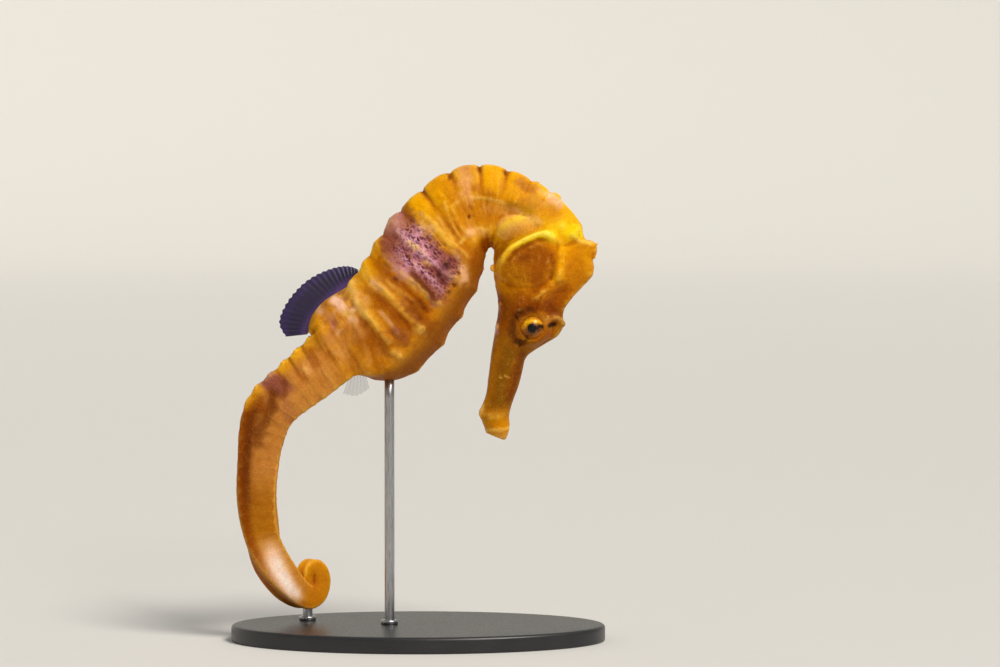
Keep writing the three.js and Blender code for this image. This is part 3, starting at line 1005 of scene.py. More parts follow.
BODY_STROKES = strokes("""
CREAM .33 .61 .23 1.4 68.1 3 65.8 4.6 63.8 6.4 61.8
CREAM .3 .35 .14 4.3 70.2 5 68.2 5.9 66.2 7 64.2
CREAM .21 .3 .09 3.2 68.6 4.3 66.3 5.6 64.2
CREAM .21 .3 .09 5.4 69.7 6.2 67.6 7.4 65.2
PINK .72 .57 .27 -3 65.7 -1.6 64.4 .2 62.8 2.4 61
LILAC .5 .54 .18 2.4 61 3.7 59.9 5.1 58.5
PINK .64 .46 .18 -2.2 61.5 -.6 60.4 1.1 59.3 2.6 57.8 3.8 56.2
PINK .48 .41 .05 -3.4 63.1 -2.9 61.2
CREAM .42 .85 .3 -4.6 61.5 -2.6 59.1 -.6 57.5 1.4 55.8
CREAM .36 .36 .18 -4.8 57.7 -2.9 56.4 -1.1 55 .5 53.7
CREAM .42 1 .34 -8.3 59.1 -6.9 57.4 -5.1 55.8 -3.5 54.2 -1.6 52.4 .2 50.3
ROSE .6 .5 0 -7 57.7 -5.8 56.7
CREAM .45 .6 .23 .3 50.2 .5 50
ROSE .5 .38 .13 -5.9 53 -4.5 51.4 -3.2 49.7
CREAM .42 1 .34 -10.7 57.2 -9.8 55.4 -8.6 53.5 -7.2 51.6 -5.9 49.8 -5 48.2
CREAM .42 .55 0 -10.9 57.4 -10.1 56.1
CREAM .39 .65 .23 -3.7 46.6 -3.2 46.3
PEACH .4 .61 .18 -9.9 51.1 -8.8 48.6 -8 46.3 -7.7 44.6
BROWN .8 .5 -.12 -.8 59 1 57 2.7 55
RUST .66 .45 -.08 -3.5 58.3 -1.3 56.2 1 54
BROWN .55 .5 -.05 .3 54.5 1.4 53.2
RUST .75 .66 -.1 -6.1 55.3 -3.8 53.2 -1.3 50.6
MAUVE .55 1.1 0 -3.5 49.8 -1.9 48.6
RUST .5 .88 -.1 -8.6 51.1 -7 48.9 -5.1 47
CREAM .55 .6 .1 -10.8 56.8 -9.4 54 -8.2 52.2
RUST .5 1 0 -6.1 60.7 -5.1 59.1
ROSE .95 .85 .06 -13.3 54.8 -12 53.7
CREAM .6 .6 0 -11.4 52.7 -10.6 52.4
ROSE .6 .5 0 -10.7 51.8 -9.8 51.6
LILAC .5 .5 0 -13.8 51.8 -13.3 51
PEACH .5 .8 0 -9 55.6 -8 55
PEACH .4 1.4 0 -14.1 49 -11.8 47.4
RUST .3 .8 0 -6.1 44.4 -4.8 43.4
PEACH .5 .8 .05 -12.5 46.3 -11.5 45.7
LOBE .7 .8 0 -16 51.1 -17 49.8
RUST .4 .7 -.05 -14.1 46.3 -13.1 45.4
RUST .45 .7 -.06 -17 46.6 -16 44.7
RUST .45 .6 -.05 -18.9 43.1 -18.1 42.2
PEACH .6 .6 .06 -17.9 43.9 -17.4 43.4
BROWN .4 .45 0 -21.3 42.2 -21 39.9
BROWN .45 .5 0 -23.2 39.6 -22.9 37.8
BROWN .4 .5 0 -26.9 36.7 -26.9 33.5 -27.2 30.3
RUST .5 .6 0 -25 38.3 -24.3 36.7
CREAM .6 .3 .14 5.9 70 7.7 71 9.9 71.1 11.8 70.8 13.6 70.2
PEACH .35 .35 .06 13.6 70.2 15 69.4 16.6 68.6
CREAM .45 .36 .16 6.9 63.8 8.2 65.4 9.9 66.2 11.7 65.5
PEACH .65 .5 .1 13.1 66.8 14.2 67.9 16.3 68.4 18.4 67.9 19.5 67.1
PEACH .95 1.35 0 7.4 76.4 7.7 73.8 7.8 71.3
PEACH .4 .8 0 7.8 71.3 8.2 68.4 8.3 65.7
ROSE .7 .5 .06 8.2 65.7 8.6 65.5
ROSE .85 .9 0 21 71.3 22.6 70
ROSE .4 .5 0 19.2 72.1 20.3 71.6
OLIVE .3 .9 0 14.7 69.7 17.9 69.2
RUST .35 .7 0 9 72.6 11.8 71.3
OCHRE .5 1.2 0 8.3 68.7 11.5 68.1
BROWN .45 .7 0 -2.1 70.2 -1 67.4
MAUVE .8 1.5 0 -5 67.1 -4.2 63.6
ROSE .35 .9 0 -4.6 66.5 -3.5 67.1
ROSE .7 .8 0 7.2 59.8 7.4 58
CREAM .7 .4 0 -1.1 63.9 -.2 63.1
CREAM .6 .35 0 1.1 60.9 1.9 60.4
BROWN .9 .3 -.05 16.7 73 16.8 72.7
BROWN .8 .25 0 13.9 75.2 14.1 74.8
BROWN .8 .24 -.03 8.2 68.2 8.2 67.9
BROWN .7 .25 0 9.8 75.8 9.8 75.4
BROWN .7 .25 0 5 74.5 5.1 74.1
SPOT .85 .34 -.04 4.5 60.4 4.7 60.1
SPOT .8 .3 -.04 3.4 58.9 3.5 58.7
SPOT .7 .22 0 4 58 4.2 57.7
BROWN .85 .3 0 5.6 57.4 5.9 57.2
BROWN .7 .24 0 5 56.2 5.1 56.1
BROWN .85 .28 0 2.1 56.1 2.6 55.6
BROWN .7 .22 0 6.4 59.3 6.6 59
BROWN .8 .26 0 -1.4 61.8 -1.1 61.5
BROWN .8 .28 0 -3.5 58.2 -3.2 58.1
BROWN .7 .3 0 0 51.9 .5 51.8
BROWN .7 .26 0 .8 53.7 1.1 53.5
MAUVE .4 .8 0 -2.2 54.6 -.3 52.6
PEACH .45 .9 0 10.9 69.4 15.5 68.8
CREAM .7 1 .05 13.4 65.4 15 67 17.4 67.4 19 66.8
LEMON .4 .6 0 13.2 65.6 14.6 67.2 16.6 67.8
LEMON .7 1.3 .08 20.6 65.4 22.4 66.2 24.6 66.2
TAN .5 1.3 0 18.2 70.4 20 69.9 22 68.9
MAUVE .55 1 0 -5.4 62.8 -3.4 60.9
RUST .35 .4 -.04 14.6 65.2 15.4 65.6
PEACH .5 .6 .04 8.1 65.4 9.6 65.7 11.5 65.2
ROSE .5 .7 0 -15.6 53.2 -13.8 52.2
RUST .5 1.6 -.05 -.6 53.2 1.6 50.8
BROWN .3 1.2 0 -.8 53.2 1.8 50.4
BROWN .6 1 0 -22.8 39.6 -23.4 37 -25 34.6 -25.6 32.2
OCHRE .8 .9 0 16.4 73.4 18 72.6
OCHRE .5 .9 0 3 73.4 4.6 72.6
TAN .5 1.5 0 -10 44.4 -8.6 43.4
RUST .4 1.2 0 -10 48.8 -9 47.6
RUST .45 1.2 0 -5.6 49 -4.6 47.6
OCHRE .5 1.2 0 -16.6 51 -16.2 48.2
LOBE .85 1 0 12.4 65 12.9 63.4
PEACH .5 .8 0 13.8 65.4 15.6 66 17.6 65.9
LOBE .6 .6 0 14 63.2 15.6 64.6 17.4 65.3
PINK .45 .8 0 -.6 64.6 .6 65.8
CREAM .5 .9 0 .9 66.8 2.4 65.6
RUST .4 1 0 -14.6 53.6 -13.6 52
LOBE .4 .9 0 3.4 64.9 4.6 63.4
RUST .4 1.1 0 8 62.4 8.8 61
MAUVE .3 1.1 0 -21 38 -20.4 36
LILAC .5 1 0 -3.6 60.4 -2.2 58.8
TAN .4 1.2 0 -6 46.4 -4 45.6
OCHRE .45 .9 0 5.4 71.4 7 70.4
TAN .35 .9 0 7.6 75.6 9 75
MAUVE .35 1.1 0 3.2 55.8 4.4 54.6
BROWN .25 1 0 -3.4 48.8 -2.4 47.8
TAN .5 1 0 -5.8 58 -4.4 56.8
OLIVE .25 1 0 -16.8 49 -15.8 47.8
TAN .5 .9 0 16.6 73.4 18 72.6
BROWN .35 .8 0 -27.4 30.4 -27.6 27 -27 23
CREAM .4 .9 0 3.2 66.9 5.8 63.6
PEACH .35 .9 0 -10 51.2 -9 50
""")

# The thin brown groove in this table that runs from 14.5 61.2 to 20.6 64.5 is painted shadow under the gill cover's
# rim.
HEAD_STROKES = strokes("""
TAN .75 .55 .2 19.8 51 21 51.9 22.2 51.9
GOLD 0 .5 .25 22.1 51.8 23.2 51.2
LOBE .5 .7 .26 22.1 64.6 22.9 63 23 60.7 22.4 58.3
LOBE .4 1 .1 22.1 59.1 23 58
LEMON .85 .75 .28 20.8 65.1 22.2 66 23.7 67 25 66.6
LEMON .6 1.1 .32 23.7 66.2 24 66
CREAM .75 .42 .2 24.5 65.2 25.8 64.1 27.5 63.7
CREAM .3 .4 .08 22.7 68.6 24.6 67.6 25.9 66.8 26.2 65.2
LOBE .5 .6 .22 18.4 55 19.2 55.3 20 56.2
GOLD 0 .5 .1 20 56.2 21.4 57.2
BROWN .4 .42 -.14 21.4 61.8 21.6 60.4 21.2 58.4
OCHRE .45 1.5 -.12 25.4 62.3 24.8 58.5
RUST .35 1.5 -.16 23 55.9 21.4 54
LOBE .4 .9 .08 26.9 62.3 27.2 59.1
CREAM .4 .32 .1 10.7 33.8 12.6 33.9 14.6 34.2
CREAM .8 .5 .14 9.8 36.7 10.2 37.7
LEMON .12 .7 .1 10.9 35.6 12.5 36.1 14.1 36.6
RUST .45 .35 0 10.9 36.2 11 35.9
PEACH .35 .7 0 11.2 33.2 13.9 32.7
GOLD .3 .6 .05 12.6 47.9 12 44.7 11.4 41 10.9 38.3
OLIVE .38 .9 .06 14.7 46.3 13.8 43.1 13.1 39.3
OLIVE .3 .9 0 11.8 38 14.2 38.3
CREAM .6 .14 .02 13.1 42.4 13.4 42.3
CREAM .5 .14 .02 13.9 42.6 14.6 42.3
CREAM .6 .14 0 14.9 48.9 15.2 49
BROWN .3 .34 -.12 14.5 61.2 15.6 62.4 17.4 63.4 19.1 64.3 20.6 64.5
RUST .45 1.4 0 16.6 61.5 18.6 62.4 20.6 61.5
RUST .4 1.1 0 19.2 60.7 19 58.5 18.7 56.6
BROWN .35 .7 0 16.6 61.6 17.4 61.5
LOBE .12 1.1 .06 15.2 60.6 16.6 58.8 17.6 57.2
RUST .5 .8 0 14.2 58.2 14.6 57.2
GOLD .4 .8 0 13 56.6 15 55.3
RUST .75 .9 0 16 53.4 19 53.8
RUST .35 1.1 0 13.6 54.2 13.8 50.6
RUST .6 .8 0 19 49 20.8 49.4
BROWN .5 .5 0 16.5 51 16.4 49.4
BROWN .62 .7 0 16.6 46 15.8 42.2 15 39
RUST .7 1.5 0 23 55.6 21.2 54.2
SPOT .95 .36 -.03 15.7 52.1 15.8 51.9
SPOT .92 .38 -.03 16.3 52.9 16.5 52.8
BROWN .85 .3 0 16.9 52.6 17.2 52.5
SPOT .92 .52 -.03 17.8 53.4 18.1 53.3
BROWN .8 .29 0 19 53.8 19 53.7
RUST .6 .2 0 20 53.8 20.2 53.8
OLIVE .85 .38 -.03 15.2 51 15.2 49
SPOT .95 .42 -.04 15.8 48.2 16.4 47.9
SPOT .6 .3 0 17.5 48.7 17 48.2
SPOT .95 .36 -.04 21.1 50.6 21.8 50.9
ROSE .6 .5 .05 13.9 64.9 14.2 66
TAN .7 .5 0 16 65.7 16.5 65.5
PEACH .75 .5 .14 13.1 66.8 14.2 67.9 16.3 68.4 18.4 67.9 19.5 67.1
CREAM .6 1.1 .06 13.6 65.8 15 67.1 17.1 67.4
BROWN .6 .22 0 18.8 66.7 19 66.6
OCHRE .6 .8 0 12.8 62.6 13.6 64.2
ROSE .6 .5 0 11 59.8 11.7 59.4
PINK .95 .55 .06 12.2 50.5 12.2 49.7
ROSE .5 .4 .05 12.8 53.7 12.8 53.2
BROWN .5 .75 0 15.6 52.3 16.6 53 18.2 53.4 19.2 53.6
BROWN .6 .6 0 15.2 51.3 14.9 49.5 15.5 48.2 16.6 47.8
LEMON .9 1 .05 23.2 66.2 25.7 65.4
LOBE .3 .9 .05 13.9 57.8 15.2 59.6
RUST .7 1.2 0 16.5 55.4 18.6 54.6
BROWN .45 .9 0 21 53.4 22.4 52.4
LOBE .85 1 0 12.4 65 12.9 63.4
PEACH .5 .8 0 13.8 65.4 15.6 66 17.6 65.9
LOBE .6 .6 0 14 63.2 15.6 64.6 17.4 65.3
RUST .5 1.1 0 19.2 58 19.8 56.8
GOLD .6 .6 0 18.8 64.2 21.4 63.4
BROWN .3 .8 0 15.6 43.4 14.6 40
""")

EYE_STROKES = strokes("""
RUST .35 .7 0 17 49.6 17.4 48.8 18.4 48.5
LOBE .9 .4 0 16.8 50.4 17.3 51.2 18.2 51.6 19.2 51.4 19.9 50.9
LEMON .5 .18 0 17.4 51.2 18.2 51.5 19.1 51.3
OCHRE .6 .5 0 18.2 48.5 19.2 48.9 19.9 49.7
SPOT .9 .33 0 19 50.3 19.4 50.6 20 50.5
BROWN .7 .2 0 19.1 49.8 19.6 50
BROWN .85 .26 0 17.3 48.9 17.4 48.7
BLACK 1 .6 0 18.2 50.15 18.25 50.1
""")


@dataclass(frozen=True)
class Socket:
    """The eye's place and the skin round it.

    The profile is how far out the skin lies at each distance from the eye's axis. It holds in full as far as level
    and fades up to reach. Up to fine_reach the mesh is finer. Points within snap of the opening are drawn to it.
    """

    at: float = 17.8
    crown: float = 3.2
    out: float = 2.0
    radius: float = 2.15
    opening: float = 1.8
    profile: Pairs = (
        (0.0, 2.9), (1.66, 3.0), (1.8, 3.15), (1.9, 3.2), (2.06, 3.24), (2.3, 3.26), (2.7, 3.27), (3.2, 3.24),
        (3.6, 3.2),
    )
    level: float = 2.1
    reach: float = 3.5
    fine_reach: float = 3.3
    snap: float = 0.07
    off_middle: float = 1.2
    flank: float = 1.4

    def middle(self, side: Side) -> Array:
        """The eye's centre, in millimetres."""
        return to_space(self.at, self.crown, side * self.out)

    def away(self, points: Array) -> Array:
        """How far points are from the eye's axis."""
        at, crown = from_space(points)
        return np.hypot(at - self.at, crown - self.crown)


@dataclass
class GillCover:
    """The bony plate over the gills: a low dome with a thick raised rim at its back and top.

    Rim and plain are heights over the floor from the middle, 0, to the edge, 1, with the rim and without. Edge is
    the outline's share of a plain oval, by degrees from the crown's side.
    """

    at: float = 28.2
    crown: float = 1.1
    long: float = 5.2
    high: float = 5.3
    floor: float = 3.35
    foot: float = 1.6
    rings: int = 30
    around: int = 96
    rim: Pairs = (
        (0, 1.62), (0.3, 1.6), (0.55, 1.5), (0.64, 1.4), (0.7, 1.43), (0.78, 1.7), (0.87, 1.88), (0.95, 1.65),
        (1.0, 0.3),
    )
    plain: Pairs = (
        (0, 1.66), (0.3, 1.56), (0.55, 1.25), (0.75, 0.78), (0.88, 0.1), (1.0, -1.5),
    )
    edge: Pairs = (
        (0, 1.0), (25, 1.04), (54, 1.16), (69, 1.12), (82, 0.97), (104, 0.79), (127, 0.725), (150, 0.76),
        (180, 0.88), (205, 1.05), (230, 1.03), (270, 1.0), (360, 1.0),
    )

    def outline(self, turn: Array) -> Array:
        """How far out the plate's edge lies at a turn, as a share of its plain oval."""
        degrees, shares = np.array(self.edge).T
        return hermite(np.degrees(turn) % 360, degrees, shares)

    def rim_share(self, turn: Array) -> Array:
        """How much rim there is at a turn from the crown's side: full from the top round to the throat."""
        degrees = np.degrees(turn) % 360
        return rise(30, 74, degrees) * rise(220, 176, degrees)

    def polar(self, at: Array, crown: Array) -> tuple[Array, Array]:
        """Finds places on the plate.

        Args:
            at: places along the snout's axis.
            crown: places towards the crown.

        Returns:
            How far out each place is, with 1 at the edge, and its turn from the crown side.
        """
        u, v = (crown - self.crown) / self.high, (at - self.at) / self.long
        turn = np.arctan2(v, u)
        return np.hypot(u, v) / self.outline(turn), turn

    def form(self, side: Side) -> Form:
        """Makes the plate of one side.

        Args:
            side: which side.

        Returns:
            The closed plate.
        """
        shares = np.linspace(0, 1, self.rings + 1)[1:]
        radius, angle = np.meshgrid(shares, once_round(self.around), indexing="ij")
        rim = self.rim_share(angle)
        lift = rim * lined(radius, *self.rim) + (1 - rim) * lined(radius, *self.plain)
        reach = radius * self.outline(angle)
        at = self.at + self.long * reach * np.sin(angle)
        crown = self.crown + self.high * reach * np.cos(angle)
        top = to_space(at, crown, side * (self.floor + lift))
        under = to_space(at[-1], crown[-1], side * np.full(self.around, self.foot))
        hub = to_space(self.at, self.crown, side * (self.floor + self.rim[0][1]))
        rings = np.concatenate([np.broadcast_to(hub, (1, self.around, 3)), top, under[None]])
        return tube_form(rings)


# ---- the skin


@dataclass
class Flesh:
    """What is known about each vertex of the skin, such as its places in the body's and the head's terms."""

    points: Array
    normals: Array
    s: Array
    q: Array
    at: Array
    crown: Array
    head: Array
    off: Array
    ring: Array = field(init=False)
    gap: Array = field(init=False)
    form: Array = field(init=False)
    girth: Array = field(init=False)

    def __post_init__(self) -> None:
        """Works out the ring count, the gap from the nearest ring, the kind of section and its size."""
        shape = BodyShape()
        wander = 0.09 * drift(self.points, 2.1, 51.0) * rise(1.0, 3.0, self.q)
        self.ring = shape.ring_count(self.s) + wander
        self.gap = self.ring - np.round(self.ring)
        self.form = np.clip(shape.column("form", self.s), 0, 1)
        self.girth = shape.column("wide", self.s)

    @property
    def body(self) -> Array:
        """How much a vertex belongs to the body rather than the head."""
        return 1 - self.head


# The saddle of mauve and dots lies between these ring counts.
SADDLE = (7.35, 9.0)

# Where the lobes of the back end, as pairs of s and q.
LOBE_ENDS = ((0, 3.05), (22, 3.0), (30, 2.1), (40, 1.7), (50, 1.5), (110, 1.4))


class Relief:
    """How far the skin stands out from the smooth form, in millimetres."""

    def body(self, f: Flesh) -> Array:
        """Rings, ridges and lobes of the body.

        Args:
            f: the skin's vertices.

        Returns:
            The height at each vertex.
        """
        s, q, gap = f.s, f.q, f.gap
        trunk, tail = 1 - f.form, f.form
        size = f.girth / 5.0
        wobble = 1 + 0.35 * drift(f.points, 2.4, 3.0)
        facing = rise(0.2, 0.6, np.abs(f.normals[:, 1]))

        # Pillows along the back, with a short crease between them.
        lobe_high = lined(
            s, (0, 0.05), (5, 0.2), (12, 0.36), (21, 0.4), (28, 0.55), (42, 0.42), (49, 0.32), (62, 0.38),
            (68, 0.08), (84, 0.02), (110, 0),
        )
        past = q - lined(s, *LOBE_ENDS)
        angled = rise(21, 27, s) * rise(50, 45, s)
        pillow = (1 - np.abs(2 * gap) ** 2.4 - 0.7) * (1 - angled) + (0.62 - 1.6 * np.abs(gap + 0.1)) * angled
        height = lobe_high * pillow * rise(0.5, -1.5, past) * wobble
        crease_high = 0.55 * lobe_high * rise(5, 10, s)
        height -= crease_high * bell(np.abs(gap), 0.5, 0.075) * rise(-0.7, -2.4, past + 0.4 * tail)
        height -= 0.22 * bell(s, 69, 6)

        # Soft crests stand along the rings of the flank and fade in and out.
        crest_high = lined(
            s, (0, 0), (14, 0.03), (21, 0.12), (26, 0.19), (42, 0.17), (49, 0.06), (58, 0.025), (110, 0.006),
        )
        crest_top = lined(s, (0, 3.2), (21, 3.1), (28, 2.4), (34, 1.7), (50, 1.3), (110, 1.0))
        crest = bell(gap, 0, 0.15) - 0.4 * bell(np.abs(gap), 0.34, 0.15)
        fading = np.clip(0.7 + 0.9 * drift(f.points, 2.6, 61.0), 0.1, 1.3)
        height += crest * crest_high * rise(-0.4, 0.6, q - crest_top) * rise(5.5, 4.4, q) * fading

        # Finer folds lie between the rings, closest on the neck's flank.
        folds = np.sin(2 * np.pi * (f.ring * 3 + 0.5 * drift(f.points, 2.6, 8.0)))
        fold_high = lined(s, (0, 0.01), (16, 0.03), (28, 0.045), (44, 0.04), (54, 0.014), (70, 0.004), (110, 0))
        height += folds * fold_high * span(q, 1.8, 4.9, 0.5) * fading
        tight = np.sin(2 * np.pi * (f.ring * 7 + 0.3 * drift(f.points, 1.6, 18.0)))
        height += 0.014 * tight * span(s, 9, 24, 2) * span(q, 3.1, 4.9, 0.4)

        # Ridges run along the body and swell where they cross a ring.
        knot = 0.45 + 0.55 * bell(gap, 0, 0.22)
        behind_neck = rise(19, 28, s)
        along_back = 0.12 * trunk * behind_neck + 0.07 * size * tail * rise(70, 60, s)
        height += along_back * bell(q, Ridge.SUPERIOR.value, 0.34) * knot
        height += (0.12 - 0.06 * behind_neck) * trunk * bell(q, Ridge.LATERAL.value, 0.42)
        height += (0.2 * trunk + 0.04 * size * tail) * bell(q, Ridge.INFERIOR.value, 0.4) * knot
        swell = np.cos(2 * np.pi * f.ring)
        height += 0.34 * bell(q, Ridge.BELLY.value, 0.6) * trunk * (bell(gap, -0.1, 0.2) - 0.2) * behind_neck

        # The belly's plates and the tail's joints show as soft swells.
        height += 0.05 * swell * rise(5.0, 6.0, q) * trunk
        joint = lined(s, (46, 0.02), (56, 0.024), (64, 0.02), (75, 0.016), (110, 0.012))
        height += joint * swell * tail * rise(0.6, 2.0, q)
        height += joint * np.cos(4 * np.pi * f.ring) * tail * rise(4.4, 5.6, q)

        ragged = 0.35 * drift(f.points, 1.3, 31.0)
        height += 0.6 * BODY_STROKES.height(f.points[:, [0, 2]], ragged) * facing * fading
        height += 0.04 * drift(f.points, 0.8, 5.0) * (0.3 + 0.7 * trunk) + 0.08 * drift(f.points, 2.8, 9.0) * size
        return height * rise(1.6, 0.5, f.off)

    def head(self, f: Flesh) -> Array:
        """Ridges, bumps and folds of the head.

        Args:
            f: the skin's vertices.

        Returns:
            The height at each vertex.
        """
        facing = rise(0.15, 0.6, np.abs(f.normals[:, 1]))
        places = f.points[:, [0, 2]]
        height = HEAD_STROKES.height(places, 0.15 * drift(f.points, 1.2, 33.0)) * facing

        # Faint bony rays fan out over the gill cover from its lower corner.
        across = GillCover().polar(f.at, f.crown)[0]
        turn = np.arctan2(f.crown - 2.4, f.at - 21.6)
        away = np.hypot(f.crown - 2.4, f.at - 21.6)
        rays = np.sin(turn * 30 + 1.2 * drift(f.points, 1.0, 2.0))
        height += 0.018 * rays * rise(0.82, 0.66, across) * facing * rise(2.0, 5.0, away)

        # Small scales and pits roughen the skull, and the snout is nearly smooth.
        rough = rise(11, 20, f.at)
        height += (0.025 + 0.035 * rough) * drift(f.points, 0.75, 4.0)
        return height + (0.03 + 0.05 * rough) * drift(f.points, 2.4, 6.0)


class Paint:
    """The skin's colours and the masks that its finish reads."""

    def body(self, f: Flesh) -> Array:
        """The body's colours, on a scale of 0 to 255.

        Args:
            f: the skin's vertices.

        Returns:
            One colour a vertex.
        """
        s, q = f.s, f.q
        colour = plain(Tint.GOLD, len(s))
        patchy = 0.5 + 0.5 * drift(f.points, 3.2, 12.0)
        fine = 0.5 + 0.5 * drift(f.points, 1.0, 15.0)
        crest = bell(f.gap, 0, 0.2)
        off_ring = rise(0.1, 0.4, np.abs(f.gap))
        notch_shade = bell(np.abs(f.gap), 0.5, 0.1)
        neck, trunk = rise(23, 17, s), span(s, 20, 49, 3)
        past = q - lined(s, *LOBE_ENDS)
        on_lobe = rise(0.5, -0.5, past)

        place = f.ring + 0.55 * (patchy - 0.5) + 0.5 * (fine - 0.5)
        saddle = span(place, *SADDLE, 0.3) * rise(5.3, 4.5, q) * rise(1.4, 2.4, q)
        hump = span(f.ring, 10.9, 13.4, 0.5) * rise(4.2, 1.6, q)
        tail = rise(47, 52, s)
        band = f.ring + 0.18 * (q - 1.5) + 0.3 * (fine - 0.5)
        mauve = span(band, 16.55, 17.75, 0.2)
        low = rise(61, 65, s)
        shine = q - lined(s, (86, 3.5), (94, 2.1))
        lay_coats(colour, (
            # Neck: bright lobes over a gold flank, and a deep orange throat that is partly painted shade under the
            # neck.
            (Tint.OCHRE, neck * rise(2.9, 3.4, q) * (0.35 + 0.5 * patchy)),
            (Tint.CREAM, neck * bell(q, 5.0, 0.35) * 0.3),
            (Tint.LEMON, rise(9, 3, s) * rise(4.4, 2.4, q) * 0.45),
            (Tint.RUST, neck * rise(5.1, 5.8, q) * 0.85),
            (Tint.OCHRE, neck * rise(6.1, 6.7, q) * 0.25),
            # Trunk: gold over brown furrows, painted highlights in cream on the ring crests, and a smooth tan belly
            # that is painted darker towards the keel, partly as shade.
            (Tint.OCHRE, trunk * span(q, 1.2, 5.2, 0.6) * (0.4 + 0.45 * patchy)),
            (Tint.RUST, trunk * off_ring * span(q, 2.0, 4.6, 0.6) * (0.35 + 0.4 * fine)),
            (Tint.CREAM, trunk * crest * span(q, 2.4, 4.9, 0.5) * 0.1),
            (Tint.TAN, trunk * rise(4.7, 5.8, q) * (0.6 + 0.3 * fine)),
            (Tint.UMBER, trunk * rise(4.9, 6.2, q) * 0.92),
            (Tint.RUST, trunk * rise(5.2, 6.6, q) * 0.42),
            (Tint.CREAM, trunk * bell(q, 5.0, 0.3) * crest * 0.3),
            # Lobes of the back, painted deeper at their lower ends and dark in the creases, both as shade.
            (Tint.LOBE, on_lobe * rise(50, 44, s)),
            (Tint.RUST, on_lobe * rise(50, 44, s) * bell(past, -0.1, 0.6) * 0.22),
            (Tint.RUST, bell(np.abs(f.gap), 0.5, 0.17) * on_lobe * span(s, 9, 46, 3) * 0.3),
            (Tint.BROWN, notch_shade * rise(-0.7, -2.2, past) * span(s, 10, 46, 2) * (0.35 + 0.5 * fine)),
            # The saddle over rings 7 to 9.
            (Tint.LILAC, saddle * (0.62 + 0.4 * fine)),
            # Pink on the saddle's ring crests, partly a painted highlight.
            (Tint.PINK, saddle * crest * 0.5),
            (Tint.MAUVE, span(place, 7.3, 8.3, 0.25) * rise(2.6, 1.4, q) * 0.75),
            (Tint.LILAC, span(place, 7.3, 8.3, 0.3) * rise(2.6, 1.2, q) * 0.7),
            (Tint.MAUVE, saddle * rise(3.2, 4.6, q) * 0.85),
            (Tint.MAUVE, saddle * rise(0.55, 0.9, 0.5 + 0.5 * drift(f.points, 0.9, 77.0)) * 0.6),
            # The fin's foot and the last rings of the trunk.
            (Tint.PEACH, hump * (0.1 + 0.45 * patchy)),
            (Tint.MAUVE, hump * rise(0.6, 0.3, fine) * 0.5),
            (Tint.ROSE, hump * rise(0.55, 0.75, 0.5 + 0.5 * drift(f.points, 1.5, 70.0)) * 0.75),
            # Tail: tan and mauve at its base, then dark along the back and deeper lower down, both partly painted
            # shade, and pale along the belly.
            (Tint.TAN, tail * 0.9),
            (Tint.PEACH, tail * rise(66, 60, s) * patchy * 0.4),
            (Tint.LOBE, tail * rise(62, 58, s) * rise(2.2, 0.9, q) * 0.85),
            # Painted shade in the notches between the tail's lobes.
            (Tint.BROWN, tail * rise(60, 56, s) * notch_shade * rise(3.2, 1.4, q) * 0.55),
            (Tint.MAUVE, mauve * rise(3.6, 2.4, q) * 0.92),
            (Tint.PINK, mauve * rise(1.8, 0.6, q) * 0.4 * bell(f.gap, 0, 0.4)),
            (Tint.TAN, low * 0.8),
            (Tint.UMBER, low * rise(73, 80, s) * rise(92, 86, s) * 0.75),
            (Tint.RUST, low * rise(2.5, 1.7, q) * 0.95),
            (Tint.OCHRE, low * rise(1.5, 0.6, q) * 0.3),
            (Tint.BROWN, low * bell(q, 2.0, 0.45) * 0.7 * rise(86, 74, s)),
            (Tint.OCHRE, low * rise(72, 86, s) * span(q, 2.2, 5.0, 0.5) * 0.5),
            (Tint.LOBE, span(f.ring, 17.8, 19.4, 0.25) * rise(2.0, 1.0, q) * 0.7),
            (Tint.GOLD, low * rise(4.6, 5.6, q) * 0.4 * rise(90, 84, s)),
            # A painted highlight in rose and milk runs along the middle of the tail near its bend.
            (Tint.ROSE, span(s, 85.5, 96, 2.5) * bell(shine, 0, 1.25)),
            (Tint.MILK, span(s, 88, 95.5, 2.0) * bell(shine, 0, 0.95)),
            (Tint.OCHRE, rise(95.5, 99, s) * 0.9),
            (Tint.LOBE, rise(98, 103, s) * rise(3.4, 1.0, q) * 0.5),
            (Tint.RUST, rise(97, 101, s) * rise(3.8, 5.2, q) * 0.6),
        ))
        facing = rise(0.0, 0.25, np.abs(f.normals[:, 1]))
        BODY_STROKES.paint(colour, f.points[:, [0, 2]], 0.6 * drift(f.points, 0.8, 41.0), facing)
        return colour

